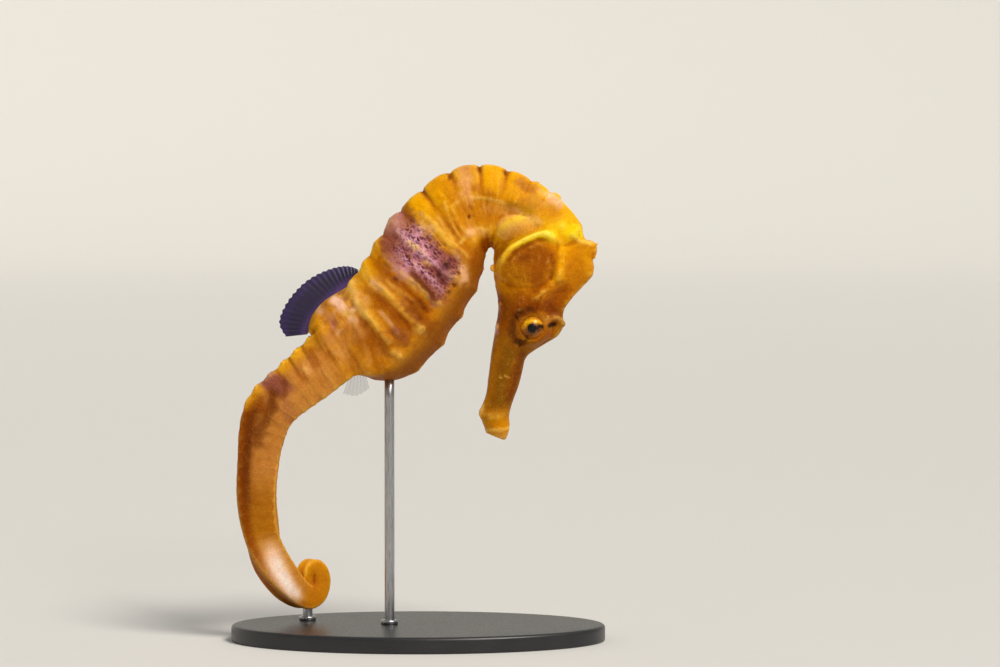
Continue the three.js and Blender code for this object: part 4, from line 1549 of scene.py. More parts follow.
    def head(self, f: Flesh, eye: Socket) -> Array:
        """The head's colours, on a scale of 0 to 255.

        Args:
            f: the skin's vertices.
            eye: the eye's place.

        Returns:
            One colour a vertex.
        """
        colour = plain(Tint.GOLD, len(f.s))
        patchy = 0.5 + 0.5 * drift(f.points, 2.6, 21.0)
        cover = GillCover()
        across, turn = cover.polar(f.at, f.crown)
        outer = rise(2.2, 3.0, np.abs(f.points[:, 1]))
        lay_coats(colour, (
            # Snout and cheek are dark, partly as painted shade under the head, the lips pale and the skull bright.
            (Tint.UMBER, span(f.at, 3.0, 22.5, 1.4) * (0.8 + 0.2 * patchy)),
            (Tint.RUST, span(f.at, 16.5, 23.0, 1.2) * rise(2.5, -1.0, f.crown) * 0.55),
            (Tint.PEACH, rise(1.5, 0.7, f.at + 0.24 * f.crown) * 0.4),
            (Tint.UMBER, rise(4.5, 3.5, f.at) * 0.35),
            (Tint.LOBE, rise(26, 30, f.at) * rise(3.5, 6.0, f.crown) * rise(10.6, 8.6, f.crown) * 0.7),
            (Tint.OCHRE, rise(32, 28, f.at) * rise(22, 25, f.at) * rise(5.0, 8.0, f.crown) * 0.85),
            (Tint.UMBER, rise(34, 31, f.at) * rise(23, 26, f.at) * rise(7.5, 10.5, f.crown) * 0.35),
            # The gill cover is darker inside its rim.
            (Tint.OCHRE, rise(0.95, 0.75, across) * outer * 0.6),
            (Tint.RUST, rise(0.95, 0.8, across) * outer * (0.2 + 0.25 * patchy) * rise(24, 27, f.at)),
        ))
        facing = rise(0.0, 0.3, np.abs(f.normals[:, 1]))
        HEAD_STROKES.paint(colour, f.points[:, [0, 2]], 0.55 * drift(f.points, 0.5, 43.0), facing)
        # The rim is painted lighter towards its top as painted light from above, and the milk along its top edge is
        # a painted highlight.
        rim = 1.4 * bell(across, 0.865, 0.16) * cover.rim_share(turn) * outer
        top = rise(0.25, 0.95, across * np.sin(turn))
        lay_coats(colour, (
            (Tint.LEMON, rim * (0.4 + 0.6 * top)),
            (Tint.MILK, rim * bell(across, 0.9, 0.06) * top * 0.3),
            (Tint.OCHRE, bell(eye.away(f.points), 2.0, 0.25) * 0.3),
        ))
        return colour

    def dots(self, f: Flesh) -> Array:
        """Finds where rows of small dark dots lie.

        Args:
            f: the skin's vertices.

        Returns:
            A mask from 0 to 1.
        """
        rows = 0.4 + 0.6 * np.maximum(bell(f.ring, 7.75, 0.27), bell(f.ring, 8.5, 0.28))
        saddle = span(f.ring + 0.25 * drift(f.points, 1.2, 91.0), *SADDLE, 0.2)
        return np.clip(rows * saddle * rise(5.4, 4.8, f.q) * rise(1.5, 2.3, f.q), 0, 1) * f.body


@dataclass
class Skin:
    """The one skin over head, body and tail.

    Lofts, plates, pads and knobs are melted into one mesh, which is then shaped and coloured point by point.
    """

    voxel: float = 0.2
    most_triangles: int = 192_000
    body_grid: tuple[int, int] = (300, 28)
    head_grid: tuple[int, int] = (110, 24)
    search_grid: tuple[int, int] = (440, 42)
    pad_place: Place = (33.4, -1.3, 3.1)
    pad_size: Place = (2.2, 3.6, 1.55)
    coronet_place: Place = (31.15, 10.2, 0.0)
    coronet_size: Place = (1.75, 1.55, 1.1)
    seam_spread: int = 3
    seam_passes: int = 24
    seam_pull: float = 0.7
    hollow_passes: int = 4
    hollow_depth: float = 0.012
    eye: Socket = field(default_factory=Socket)
    nodes: tuple[str, ...] = (
        "head", "snout", "coronet", "gill_cover_right", "gill_cover_left", "neck", "trunk_front", "trunk_rear",
        "tail_base", "tail_upper", "tail_lower", "tail_bend", "tail_tip",
    )
    body_shape: BodyShape = field(default_factory=BodyShape)
    head_shape: HeadShape = field(default_factory=HeadShape)

    def knobs(self) -> list[Thorn]:
        """Places the knobs where ridges cross rings, and the spines of head and crown.

        Returns:
            All of them, on both sides.
        """
        made = []
        rings = np.arange(1, 34)
        s = np.interp(rings, RING_COUNTS, RING_PLACES)
        back = lined(s, (0, 0), (34, 0), (38, 0.2), (50, 0.26), (62, 0.24), (67, 0), (110, 0))
        low = lined(s, (0, 0), (22, 0), (27, 0.17), (42, 0.2), (50, 0), (110, 0))
        for side in Side:
            for line, size in ((Ridge.SUPERIOR, back), (Ridge.INFERIOR, low)):
                foot = self.body_shape.points(s, np.full(len(s), line.value), np.full(len(s), float(side)))
                way = foot - self.body_shape.frames(s)[0]
                way /= np.linalg.norm(way, axis=1)[:, None]
                for n in np.flatnonzero(size > 0.09):
                    made.append(Thorn(tuple(foot[n]), tuple(way[n]), float(size[n] * 1.3), float(size[n] * 1.9)))
        return made + self.head_spines()

    def head_spines(self) -> list[Thorn]:
        """Places the spines of nose, brow, cheek, throat, nape and coronet.

        Returns:
            All of them, on both sides.
        """
        def spine(at: float, crown: float, out: float, aim: tuple, length: float, thick: float) -> Thorn:
            """Makes a spine in the head's terms.

            Args:
                at: the foot's place along the snout's axis.
                crown: the foot's place towards the crown.
                out: the foot's place to the left.
                aim: the way it points, in the same terms.
                length: its length.
                thick: its half width at the foot.

            Returns:
                The spine.
            """
            foot = to_space(at, crown, out)
            way = to_space(at + aim[0], crown + aim[1], out + aim[2]) - foot
            return Thorn(tuple(foot), tuple(way / np.linalg.norm(way)), length, thick)

        made = [
            spine(18.6, 7.0, 0, (0.35, 1, 0), 2.0, 1.15),
            spine(34.4, 7.2, 0, (0.75, 1, 0), 1.3, 1.3),
            spine(36.8, 5.9, 0, (0.9, 0.9, 0), 0.7, 0.9),
            spine(38.9, 4.1, 0, (0.9, 0.7, 0), 0.7, 1.3),
            spine(40.3, 0.6, 0, (1, 0.2, 0), 0.8, 0.9),
        ]
        for side in Side:
            made += [
                spine(19.6, 5.0, side * 2.4, (0.35, 0.55, side * 0.9), 1.2, 0.7),
                spine(26.2, -3.3, side * 1.5, (0.05, -1, side * 0.5), 2.3, 1.15),
                spine(20.8, -1.7, side * 1.2, (0.0, -1, side * 0.4), 1.2, 0.6),
                spine(17.0, -1.6, side * 0.9, (-0.1, -1, side * 0.3), 1.3, 1.15),
                spine(34.5, 5.4, side * 3.2, (0.5, 0.3, side * 0.8), 0.8, 1.3),
                spine(2.6, -2.4, side * 0.9, (-0.25, -1, side * 0.3), 0.9, 0.7),
            ]
        for n in range(6):
            turn = 2 * math.pi * (n + 0.5) / 6
            along, out = 1.0 * math.cos(turn), 0.6 * math.sin(turn)
            made.append(spine(31.3 + along, 10.8, out, (along * 0.4, 1, out * 0.2), 1.15 + 0.2 * (n % 2), 0.42))
        return made

    def blob(self, middle: Array, radii: Sequence[float], count: int = 20) -> Form:
        """Makes an egg shape that leans with the head.

        Args:
            middle: its centre.
            radii: half sizes along the snout, to the crown and out.
            count: rings from end to end.

        Returns:
            The closed form.
        """
        polar = np.linspace(0, np.pi, count + 1)[1:-1]
        p, t = np.meshgrid(polar, once_round(2 * count), indexing="ij")
        along, crown, out = (
            radii[0] * np.cos(p), radii[1] * np.sin(p) * np.cos(t), radii[2] * np.sin(p) * np.sin(t)
        )
        return tube_form(to_space(along, crown, out) - to_space(0, 0, 0) + middle)

    def fin_foot(self) -> Form:
        """Makes the fleshy foot of the dorsal fin, highest at its rear.

        Returns:
            The closed form.
        """
        front, rear, height, wide = np.array([-9.8, 0, 56.9]), np.array([-17.2, 0, 49.3]), 2.1, 3.1
        run = rear - front
        out = np.array([run[2], 0, -run[0]]) / np.linalg.norm(run)
        turn = once_round(28)[:, None]
        rings = []
        for share in np.linspace(0, 1, 25):
            swell = math.sin(math.pi * min(0.97, 0.04 + 0.93 * share**1.35)) ** 0.6
            rings.append(
                front + run * share
                + out * np.cos(turn) * height * swell
                + np.array([0, 1, 0]) * np.sin(turn) * wide * (0.5 + 0.5 * swell)
            )
        return tube_form(np.array(rings))

    def rough_form(self, material: Material) -> Mesh:
        """Melts all lofts, plates, pads and knobs into one skin.

        Args:
            material: the skin's material.

        Returns:
            One mesh in millimetres with faces of one size.
        """
        forms = [
            self.body_shape.loft(0.0, self.body_shape.end, *self.body_grid)[0], self.body_shape.cap(),
            self.head_shape.loft(*self.head_grid), self.fin_foot(),
        ]
        for side in Side:
            at, crown, out = self.pad_place
            forms += [GillCover().form(side), self.blob(to_space(at, crown, side * out), self.pad_size)]
        forms.append(self.blob(to_space(*self.coronet_place), self.coronet_size))
        mesh = joined(*forms).mesh("skin_form", 1.0)
        work = bmesh.new()
        work.from_mesh(mesh)
        work.from_mesh(Thorns(places=self.knobs()).build(material))
        work.to_mesh(mesh)
        work.free()
        return modified(mesh, "REMESH", mode="VOXEL", voxel_size=self.voxel)

    def refine(self, mesh: Mesh) -> None:
        """Splits the faces round the eyes.

        Args:
            mesh: the skin, in millimetres.
        """
        work = bmesh.new()
        work.from_mesh(mesh)
        near = [
            e for e in work.edges
            if abs(e.verts[0].co.y) > self.eye.flank
            and self.eye.away(np.array([(e.verts[0].co + e.verts[1].co) / 2]))[0] < self.eye.fine_reach
        ]
        bmesh.ops.subdivide_edges(work, edges=near, cuts=1, use_grid_fill=True)
        bmesh.ops.triangulate(work, faces=[f for f in work.faces if len(f.verts) > 4])
        work.to_mesh(mesh)
        work.free()

    def read(self, mesh: Mesh) -> Flesh:
        """Finds what part of the body or head each vertex belongs to.

        Args:
            mesh: the skin, in millimetres.

        Returns:
            Each vertex's places in the body's and the head's terms.
        """
        points = points_of(mesh)
        body, s_at, q_at = self.body_shape.loft(0.0, self.body_shape.end, *self.search_grid)
        triangles = [part for f in body.faces for part in (f[:3], (f[0], *f[2:])) if len(part) == 3]
        tree = BVHTree.FromPolygons(body.points.tolist(), triangles)
        head = self.head_shape.loft(*self.head_grid)
        head_tree = BVHTree.FromPolygons(head.points.tolist(), head.faces)
        found = [tree.find_nearest(p) for p in points]
        spot = np.array([hit[0] for hit in found])
        corner = np.array(triangles)[[hit[2] for hit in found]]
        from_body = np.array([hit[3] for hit in found])
        from_head = np.array([head_tree.find_nearest(p)[3] for p in points])
        a, b, c = (body.points[corner[:, k]] for k in range(3))
        u, v, w = b - a, c - a, spot - a
        uu, vv, uv = (u * u).sum(1), (v * v).sum(1), (u * v).sum(1)
        wu, wv = (w * u).sum(1), (w * v).sum(1)
        span_of = np.maximum(uu * vv - uv * uv, 1e-12)
        second, third = (vv * wu - uv * wv) / span_of, (uu * wv - uv * wu) / span_of
        shares = np.stack([1 - second - third, second, third], axis=1).clip(0, 1)
        shares /= shares.sum(1)[:, None]
        s, q = (shares * s_at[corner]).sum(1), (shares * q_at[corner]).sum(1)
        at, crown = from_space(points)
        share = rise(-0.6, 0.6, from_body - from_head)
        on_cover = rise(1.12, 0.95, GillCover().polar(at, crown)[0])
        on_cover *= rise(2.4, 3.0, np.abs(points[:, 1]))
        return Flesh(points, normals_of(mesh), s, q, at, crown, np.maximum(share, on_cover), from_body)

    def join_smoothly(self, f: Flesh, edges: Array) -> Array:
        """Smooths the creases where head and neck meet and round the fin's foot.

        Args:
            f: the skin's vertices.
            edges: pairs of vertex numbers.

        Returns:
            The new points.
        """
        foot = span(f.s, 36, 50, 1.5) * rise(2.6, 1.4, f.q) * rise(2.0, 1.0, f.off)
        crest = 1.6 * bell(f.at, 31.2, 2.0) * bell(f.crown, 9.7, 0.9)
        seam = np.maximum(np.maximum(4 * f.head * (1 - f.head), foot), np.clip(crest, 0, 1))
        points = f.points.copy()
        for _ in range(self.seam_spread):
            seam = np.maximum(seam, neighbour_mean(seam, edges, len(seam)))
        pull = self.seam_pull * np.clip(seam, 0, 1)[:, None]
        for _ in range(self.seam_passes):
            points += (neighbour_mean(points, edges, len(points)) - points) * pull
        return points

    def open_sockets(self, points: Array) -> Array:
        """Shapes lids and sockets round the eyes.

        Args:
            points: the skin's points after the relief.

        Returns:
            The new points.
        """
        at, crown = from_space(points)
        away = np.hypot(at - self.eye.at, crown - self.eye.crown)
        near = (away < self.eye.reach) & (np.abs(points[:, 1]) > self.eye.off_middle)
        ring = near & (np.abs(away - self.eye.opening) < self.eye.snap)
        pull = np.where(ring, self.eye.opening / np.maximum(away, 1e-6), 1.0)
        at = self.eye.at + (at - self.eye.at) * pull
        crown = self.eye.crown + (crown - self.eye.crown) * pull
        away = np.where(ring, self.eye.opening, away)
        goal = lined(away, *self.eye.profile)
        blend = rise(self.eye.reach, self.eye.level, away)
        side = np.sign(points[:, 1])
        out = np.abs(points[:, 1]) * (1 - blend) + goal * blend
        shaped = to_space(at, crown, side * out)
        return np.where(near[:, None], shaped, points)

    def build(self, finish: "SkinFinish") -> None:
        """Makes the skin in its finish.

        Args:
            finish: what it is made in.
        """
        material = finish.material()
        mesh = self.rough_form(material)
        self.refine(mesh)
        edges = np.empty(len(mesh.edges) * 2, np.int32)
        mesh.edges.foreach_get("vertices", edges)
        edges = edges.reshape(-1, 2)
        f = self.read(mesh)
        set_points(mesh, self.join_smoothly(f, edges))
        f.points, f.normals = points_of(mesh), normals_of(mesh)
        relief = Relief()
        height = relief.body(f) * f.body + relief.head(f) * f.head
        height *= rise(1.4, 2.2, self.eye.away(f.points)) * f.head + f.body
        points = f.points + f.normals * height[:, None]
        points = self.open_sockets(points)
        set_points(mesh, points)
        # The hollows and crests of the relief drive the finish's painted shade and painted highlights.
        shade_and_highlight = ((neighbour_mean(points, edges, len(points)) - points) * normals_of(mesh)).sum(1)
        for _ in range(self.hollow_passes):
            shade_and_highlight = 0.5 * shade_and_highlight + 0.5 * neighbour_mean(shade_and_highlight, edges, len(points))
        paint = Paint()
        colour = paint.body(f) * f.body[:, None] + paint.head(f, self.eye) * f.head[:, None]
        set_tint(mesh, colour)
        set_mask(mesh, "shade_and_highlight", np.clip(shade_and_highlight / self.hollow_depth, -1, 1))
        set_mask(mesh, "dots", paint.dots(f))
        grain = rise(0.74, 0.56, GillCover().polar(f.at, f.crown)[0]) * f.head
        set_mask(mesh, "grain", grain)
        shell = np.stack([f.s, f.q * f.girth / 2.2, np.sign(f.points[:, 1]) * 5], axis=1) * f.body[:, None]
        shell += np.stack([f.at + 200, f.crown, np.sign(f.points[:, 1]) * 5], axis=1) * f.head[:, None]
        set_mask(mesh, "lie", shell)
        count = sum(len(p.vertices) - 2 for p in mesh.polygons)
        mesh = modified(mesh, "DECIMATE", ratio=min(1.0, self.most_triangles / count))
        set_points(mesh, points_of(mesh) * MM)
        mesh.shade_smooth()
        place("seahorse_skin", mesh, material, Slot.SKIN, *self.nodes)


# ---- eyes


@dataclass
class Eyes:
    """Two eyeballs with their irises and pupils.

    The pupil's edge lies between two angles off the axis, in degrees. The rings crowd towards the pupil.
    """

    eye: Socket = field(default_factory=Socket)
    forward: float = math.radians(-1)
    pupil: tuple[float, float] = (17.0, 19.5)
    crowding: float = 1.3
    rings: int = 72
    around: int = 128

    def build(self, finish: "EyeFinish") -> None:
        """Makes both eyes.

        Args:
            finish: what they are made in.
        """
        material = finish.material()
        for side in Side:
            self.build_one(side, material)

    def build_one(self, side: Side, material: Material) -> None:
        """Makes one eye, with its colours and its turn round the pupil as attributes.

        Args:
            side: which eye.
            material: its finish.
        """
        angle = np.pi * np.linspace(0, 1, self.rings + 1)[1:-1] ** self.crowding
        a, t = np.meshgrid(angle, once_round(self.around), indexing="ij")
        axis = np.array([math.sin(self.forward), side * math.cos(self.forward), 0.0])
        first = np.cross(axis, [0, 0, 1.0])
        first /= np.linalg.norm(first)
        second = np.cross(axis, first)
        radius = self.eye.radius * (0.985 + 0.012 * rise(0.5, 0.1, a))
        rings = self.eye.middle(side) + radius[..., None] * (
            np.cos(a)[..., None] * axis
            + np.sin(a)[..., None] * (np.cos(t)[..., None] * first + np.sin(t)[..., None] * second)
        )
        side_name = side.name.lower()
        mesh = tube_form(rings).mesh(f"eye_{side_name}")
        points = points_of(mesh) / MM
        way = (points - self.eye.middle(side)) / self.eye.radius
        off = np.degrees(np.arccos(np.clip(way @ axis / np.linalg.norm(way, axis=1), -1, 1)))
        ragged = 0.3 * drift(points, 0.35, 3.0)
        colour = plain(Tint.UMBER, len(points))
        lay(colour, Tint.OCHRE, 0.5 * bell(off, 25, 6))
        lay(colour, Tint.RUST, 0.12 * rise(38, 56, off) * (1 + ragged))
        EYE_STROKES.paint(colour, points[:, [0, 2]], ragged, np.ones(len(points)))
        lay(colour, Tint.BLACK, rise(self.pupil[1], self.pupil[0], off + 3 * ragged))
        set_tint(mesh, colour)
        set_mask(mesh, "off_axis", off)
        round_axis = np.arctan2(way @ second, way @ first)
        set_mask(mesh, "round_x", np.cos(round_axis))
        set_mask(mesh, "round_y", np.sin(round_axis))
        place(f"eyeball_{side_name}", mesh, material, Slot.EYE, f"eye_{side_name}")


# ---- fins


@dataclass
class Fin:
    """A thin fin in a plane, held by rays between its base and its edge.

    Its base runs from front to rear, in x and z. The rays turn from the first angle to the last, in degrees, and
    reach holds their lengths at even steps along the base.
    """

    name: str
    node: str
    front: tuple[float, float]
    rear: tuple[float, float]
    rays: int
    first: float
    last: float
    reach: tuple[float, ...]
    hinge: float = 0.0
    aside: float = 0.0
    thick: float = 0.1
    ray_thick: float = 0.06
    wave: float = 0.06
    sway: float = 0.35
    scallop: float = 0.035
    web_taper: float = 0.6
    ray_taper: float = 0.72
    across: int = 22
    between: int = 6
    ray_sides: int = 7

    def sheet_points(self, share: Array, out: Array) -> Array:
        """Points of the fin's middle sheet, whose edge is scalloped between the rays.

        Args:
            share: places along the base, from 0 at the front to 1 at the rear.
            out: places along a ray, from 0 at the base to 1 at the edge.

        Returns:
            The points, in millimetres, turned on the hinge and moved to their side of the body.
        """
        beat = np.cos(2 * np.pi * share * self.rays)
        long = hermite(share, np.linspace(0, 1, len(self.reach)), np.array(self.reach))
        long = out * long * (1 - self.scallop * (0.5 - 0.5 * beat))
        angle = np.radians(self.first + (self.last - self.first) * share)
        x, z = (a + (b - a) * share for a, b in zip(self.front, self.rear))
        y = out * (self.wave * beat + self.sway * np.sin(2 * np.pi * 1.3 * share + 0.6) * out)
        flat = np.stack([x + long * np.cos(angle), y, z + long * np.sin(angle)], axis=-1)
        front, rear = (np.array([x, 0, z]) for x, z in (self.front, self.rear))
        turn = np.array(Matrix.Rotation(self.hinge, 3, Vector(front - rear).normalized()))
        base = (front + rear) / 2
        return (flat - base) @ turn.T + base + np.array([0, self.aside, 0])

    def web(self) -> tuple[Form, Array]:
        """Makes the membrane.

        Returns:
            The closed membrane, and how far from its base each point is, from 0 to 1.
        """
        out = np.linspace(0, 1, self.across + 1)
        share, far = np.meshgrid(np.linspace(0, 1, self.rays * self.between + 1), out, indexing="ij")
        sheet = self.sheet_points(share, far)
        half = (self.thick / 2 * (1 - self.web_taper * far))[..., None] * np.array([0, 1, 0])
        rings = np.concatenate([sheet - half, (sheet + half)[:, ::-1]], axis=1)
        off_base = np.tile(np.concatenate([out, out[::-1]]), len(share))
        return tube_form(rings), np.append(off_base, [0.5, 0.5])

    def ray_lines(self, name: str) -> Mesh:
        """Draws the rays as lines.

        Args:
            name: the mesh's name.

        Returns:
            The lines, with the half thickness at each point.
        """
        out = np.linspace(0.02, 0.985, 14)
        share, far = np.meshgrid(np.arange(self.rays + 1) / self.rays, out, indexing="ij")
        spots = np.arange(share.size).reshape(share.shape)
        edges = np.stack([spots[:, :-1], spots[:, 1:]], axis=-1).reshape(-1, 2)
        lines = bpy.data.meshes.new(name)
        lines.from_pydata((self.sheet_points(share, far).reshape(-1, 3) * MM).tolist(), edges.tolist(), [])
        set_mask(lines, "thick", self.ray_thick * (1 - self.ray_taper * far.ravel()))
        return lines

    @staticmethod
    def ray_tree() -> NodeTree:
        """Wires the tree that makes a round, tapering ray along every line of a mesh.

        Returns:
            The tree.
        """
        inputs = {"Geometry": "Geometry", "Sides": "Int", "Scale": "Float", "Material": "Material"}
        w, given = new_tree("rays_on_lines", "GeometryNodeTree", inputs, {"Geometry": "Geometry"})
        lines = w.add("GeometryNodeMeshToCurve", {"Mesh": given["Geometry"]})
        size = {"Resolution": given["Sides"], "Radius": given["Scale"]}
        ring = w.add("GeometryNodeCurvePrimitiveCircle", size, mode="RADIUS")
        tube = w.add(
            "GeometryNodeCurveToMesh",
            {"Curve": lines.outputs[0], "Profile Curve": ring.outputs[0], "Scale": w.named("thick"),
             "Fill Caps": True},
        )
        return w.hand_out(tube.outputs[0], given["Material"])

    def build(self, finish: "FinFinish") -> None:
        """Makes the membrane and its rays.

        Args:
            finish: what they are made in.
        """
        form, off_base = self.web()
        web = form.mesh(f"{self.name}_web")
        set_mask(web, "off_base", off_base)
        place(f"{self.name}_web", web, finish.web(), Slot.FIN, self.node)
        tree = bpy.data.node_groups.get("rays_on_lines") or self.ray_tree()
        inputs = {"Sides": self.ray_sides, "Scale": MM, "Material": finish.rays()}
        rays = modified(self.ray_lines(f"{self.name}_lines"), "NODES", inputs, node_group=tree)
        rays.shade_smooth()
        place(f"{self.name}_rays", rays, finish.rays(), Slot.FIN)


# ---- stand


@dataclass
class Stand:
    """The oval base and the two rods.

    The rods are bored deep into the base, and sunk further up than the solids' rods, into the skin.
    """

    length: float = 60.0
    width: float = 36.0
    height: float = 2.6
    bevel: float = 0.55
    rod: float = 0.8
    collar: float = 1.35
    collar_high: float = 0.7
    rounded: float = 0.18
    bored: float = 0.6
    sunk: float = 0.9
    around: int = 160

    def base(self, finish: "BaseFinish") -> None:
        """Makes the base, with rounded edges.

        Args:
            finish: what it is made in.
        """
        quarter = np.linspace(0, np.pi / 2, 7)
        foot = [(self.bevel * 0.5 * (math.sin(a) - 1), self.bevel * 0.5 * (1 - math.cos(a))) for a in quarter]
        rim = [(self.bevel * (math.cos(a) - 1), self.height - self.bevel * (1 - math.sin(a))) for a in quarter]
        profile = [(-8.0, 0.0), (-2.0, 0.0), *foot, *rim, *((-inset, self.height) for inset in (1.4, 6.0, 14.0))]
        rings = turned(profile, self.around, reach=(self.length / 2, self.width / 2))
        mesh = tube_form(rings).mesh("stand_base_oval")
        place("stand_oval", mesh, finish.material(), Slot.BASE, "stand_base")

    def rods(self, finish: "SteelFinish") -> None:
        """Makes both rods, each with a small collar at its foot.

        Args:
            finish: what they are made in.
        """
        material = finish.material()
        foot, rounded = self.height, self.rounded
        top = foot + self.collar_high
        collar = [
            (self.rod * 0.9, foot - 0.05), (self.collar, foot - 0.05), (self.collar, top - rounded),
            (self.collar - rounded * 0.3, top - rounded * 0.3), (self.collar - rounded, top), (self.rod * 0.9, top),
        ]
        for name in ("belly", "tail"):
            low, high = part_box(f"stand_rod_{name}")
            middle = ((low.x + high.x) / 2 / MM, (low.y + high.y) / 2 / MM)
            heights = np.linspace(foot, high.z / MM + self.sunk, 12)
            rod = turned([(self.rod, foot - self.bored), *((self.rod, h) for h in heights)], 32, middle)
            mesh = joined(tube_form(rod), tube_form(turned(collar, 40, middle))).mesh(f"rod_{name}")
            place(f"rod_{name}", mesh, material, Slot.ROD, f"stand_rod_{name}")


# ---- finishes


def grain_group() -> NodeTree:
    """Wires the fine grain that all finishes share, once.

    Returns:
        The group, with patches, grain and a height for bumps.
    """
    tree = bpy.data.node_groups.get("fine_grain")
    if tree:
        return tree
    w, given = new_tree(
        "fine_grain", "ShaderNodeTree", {"Vector": "Vector", "Coarse": "Float", "Fine": "Float"},
        {"Patch": "Float", "Grain": "Float", "Height": "Float"},
    )
    patch = w.noise(given["Vector"], given["Coarse"], 3.0)
    grain = w.noise(given["Vector"], given["Fine"], 2.0, 0.6)
    height = w.math("ADD", w.math("MULTIPLY", patch, 0.6), w.math("MULTIPLY", grain, 0.4))
    w.add("NodeGroupOutput", {0: patch, 1: grain, 2: height})
    return w.tree


@dataclass(frozen=True)
class SkinFinish:
    """Moist, slightly translucent skin over bone."""

    deep: Colour = (206, 140, 70)
    # crest is the colour of the painted highlights on convex places.
    crest: Colour = (255, 220, 100)
    glint_grain: Colour = (255, 214, 110)
    dot: Colour = (92, 38, 50)
    granule: Colour = (136, 66, 10)
    fleck: Colour = (255, 232, 170)
    gloss: Colour = (255, 206, 130)
    rough: float = 0.36
    depth: float = 0.0011
    bump: float = 0.00005

    def material(self) -> Material:
        """Wires the skin's material.

        Returns:
            The material.
        """
        made, w = new_material("seahorse_skin")
        where = w.place_on_piece()
        patch, fine, height = w.grain(620.0, 3600.0)
        colour, shade_and_highlight, lie = w.attribute("tint", "Color"), w.attribute("shade_and_highlight"), w.attribute("lie", "Vector")

        # Patches of deeper colour, painted shade in the hollows and painted highlights on the crests.
        deeper = w.mix(0.8, colour, linear(self.deep), "MULTIPLY")
        colour = w.mix(w.spread(patch, 0.46, 0.7, 0, 0.3), colour, deeper)
        colour = w.mix(w.spread(shade_and_highlight, 0.06, 0.8, 0, 0.6), colour, deeper)
        colour = w.mix(w.spread(shade_and_highlight, -0.2, -0.9, 0, 0.2), colour, linear(self.crest))

        # Fine wrinkles follow the rings, with darker bottoms, and the fine grain carries tiny painted glints.
        across = w.add("ShaderNodeMapping", {"Vector": lie, "Scale": (3.4, 0.6, 1.0)})
        wrinkle = w.noise(across.outputs[0], 1.0, 3.0, 0.6)
        colour = w.mix(w.spread(wrinkle, 0.48, 0.3, 0, 0.25), colour, deeper)
        colour = w.mix(w.spread(fine, 0.5, 0.68, 0.0, 0.35), colour, deeper)
        colour = w.mix(w.spread(fine, 0.44, 0.3, 0.0, 0.07), colour, linear(self.glint_grain))
        height = w.math("ADD", height, w.math("MULTIPLY", wrinkle, 0.6))

        # Rows of dark dots lie in the saddle.
        stir = w.add("ShaderNodeTexNoise", {"Vector": lie, "Scale": 2.6, "Detail": 2.0})
        stirred = w.mix(0.35, lie, stir.outputs["Color"], "ADD")
        near = w.attribute("dots")
        for scale, wide, cover in ((1.9, 0.56, 0.9), (2.8, 0.54, 0.8)):
            cells = w.add("ShaderNodeTexVoronoi", {"Vector": stirred, "Scale": scale, "Randomness": 1.0})
            kept = w.add("ShaderNodeSeparateColor", {"Color": cells.outputs["Color"]})
            dots = w.math("MULTIPLY", w.spread(cells.outputs["Distance"], wide, wide - 0.26), near)
            dots = w.math("MULTIPLY", dots, w.spread(kept.outputs[0], 0.1, 0.6, 0.15, cover))
            colour = w.mix(dots, colour, linear(self.dot))

        # Granules on the gill cover.
        grit = w.add("ShaderNodeTexVoronoi", {"Vector": where, "Scale": 3300.0})
        granule = w.math("MULTIPLY", w.spread(grit.outputs["Distance"], 0.12, 0.5), w.attribute("grain"))
        colour = w.mix(w.math("MULTIPLY", granule, 0.4), colour, linear(self.granule))
        height = w.math("ADD", height, w.math("MULTIPLY", granule, -0.7))

        # Scattered pale flecks.
        flecks = w.add("ShaderNodeTexVoronoi", {"Vector": where, "Scale": 1500.0})
        colour = w.mix(w.spread(flecks.outputs["Distance"], 0.16, 0.04, 0, 0.08), colour, linear(self.fleck))

        rough = w.math("ADD", w.math("MULTIPLY", fine, 0.25), self.rough)
        w.surface(
            self.bump, height, Base_Color=colour, Roughness=rough, IOR=1.4, Specular_IOR_Level=0.12,
            Specular_Tint=linear(self.gloss), Subsurface_Weight=0.35, Subsurface_Radius=(1.0, 0.4, 0.06),
            Subsurface_Scale=self.depth, Coat_Weight=0.02, Coat_Roughness=0.25,
        )
        return made


@dataclass(frozen=True)
class EyeFinish:
    """A glossy eye with fine streaks round the pupil."""

    deep: Colour = (186, 122, 60)

    def material(self) -> Material:
        """Wires the eye's material.

        Returns:
            The material.
        """
        made, w = new_material("eyeball")
        swirl = w.math("MULTIPLY", w.attribute("off_axis"), 0.012)
        turned_by = {"X": w.attribute("round_x"), "Y": w.attribute("round_y"), "Z": swirl}
        wheel = w.add("ShaderNodeCombineXYZ", turned_by)
        streaks = w.noise(wheel.outputs[0], 7.0, 3.0, 0.6)
        specks = w.noise(w.place_on_piece(), 4200.0, 2.0)
        colour = w.attribute("tint", "Color")
        deeper = w.mix(1.0, colour, linear(self.deep), "MULTIPLY")
        colour = w.mix(w.spread(streaks, 0.42, 0.62, 0, 0.5), colour, deeper)
        colour = w.mix(w.spread(specks, 0.5, 0.66, 0, 0.4), colour, deeper)
        w.surface(
            Base_Color=colour, Roughness=0.4, Specular_IOR_Level=0.25, Coat_Weight=0.25, Coat_Roughness=0.12,
            IOR=1.36,
        )
        return made


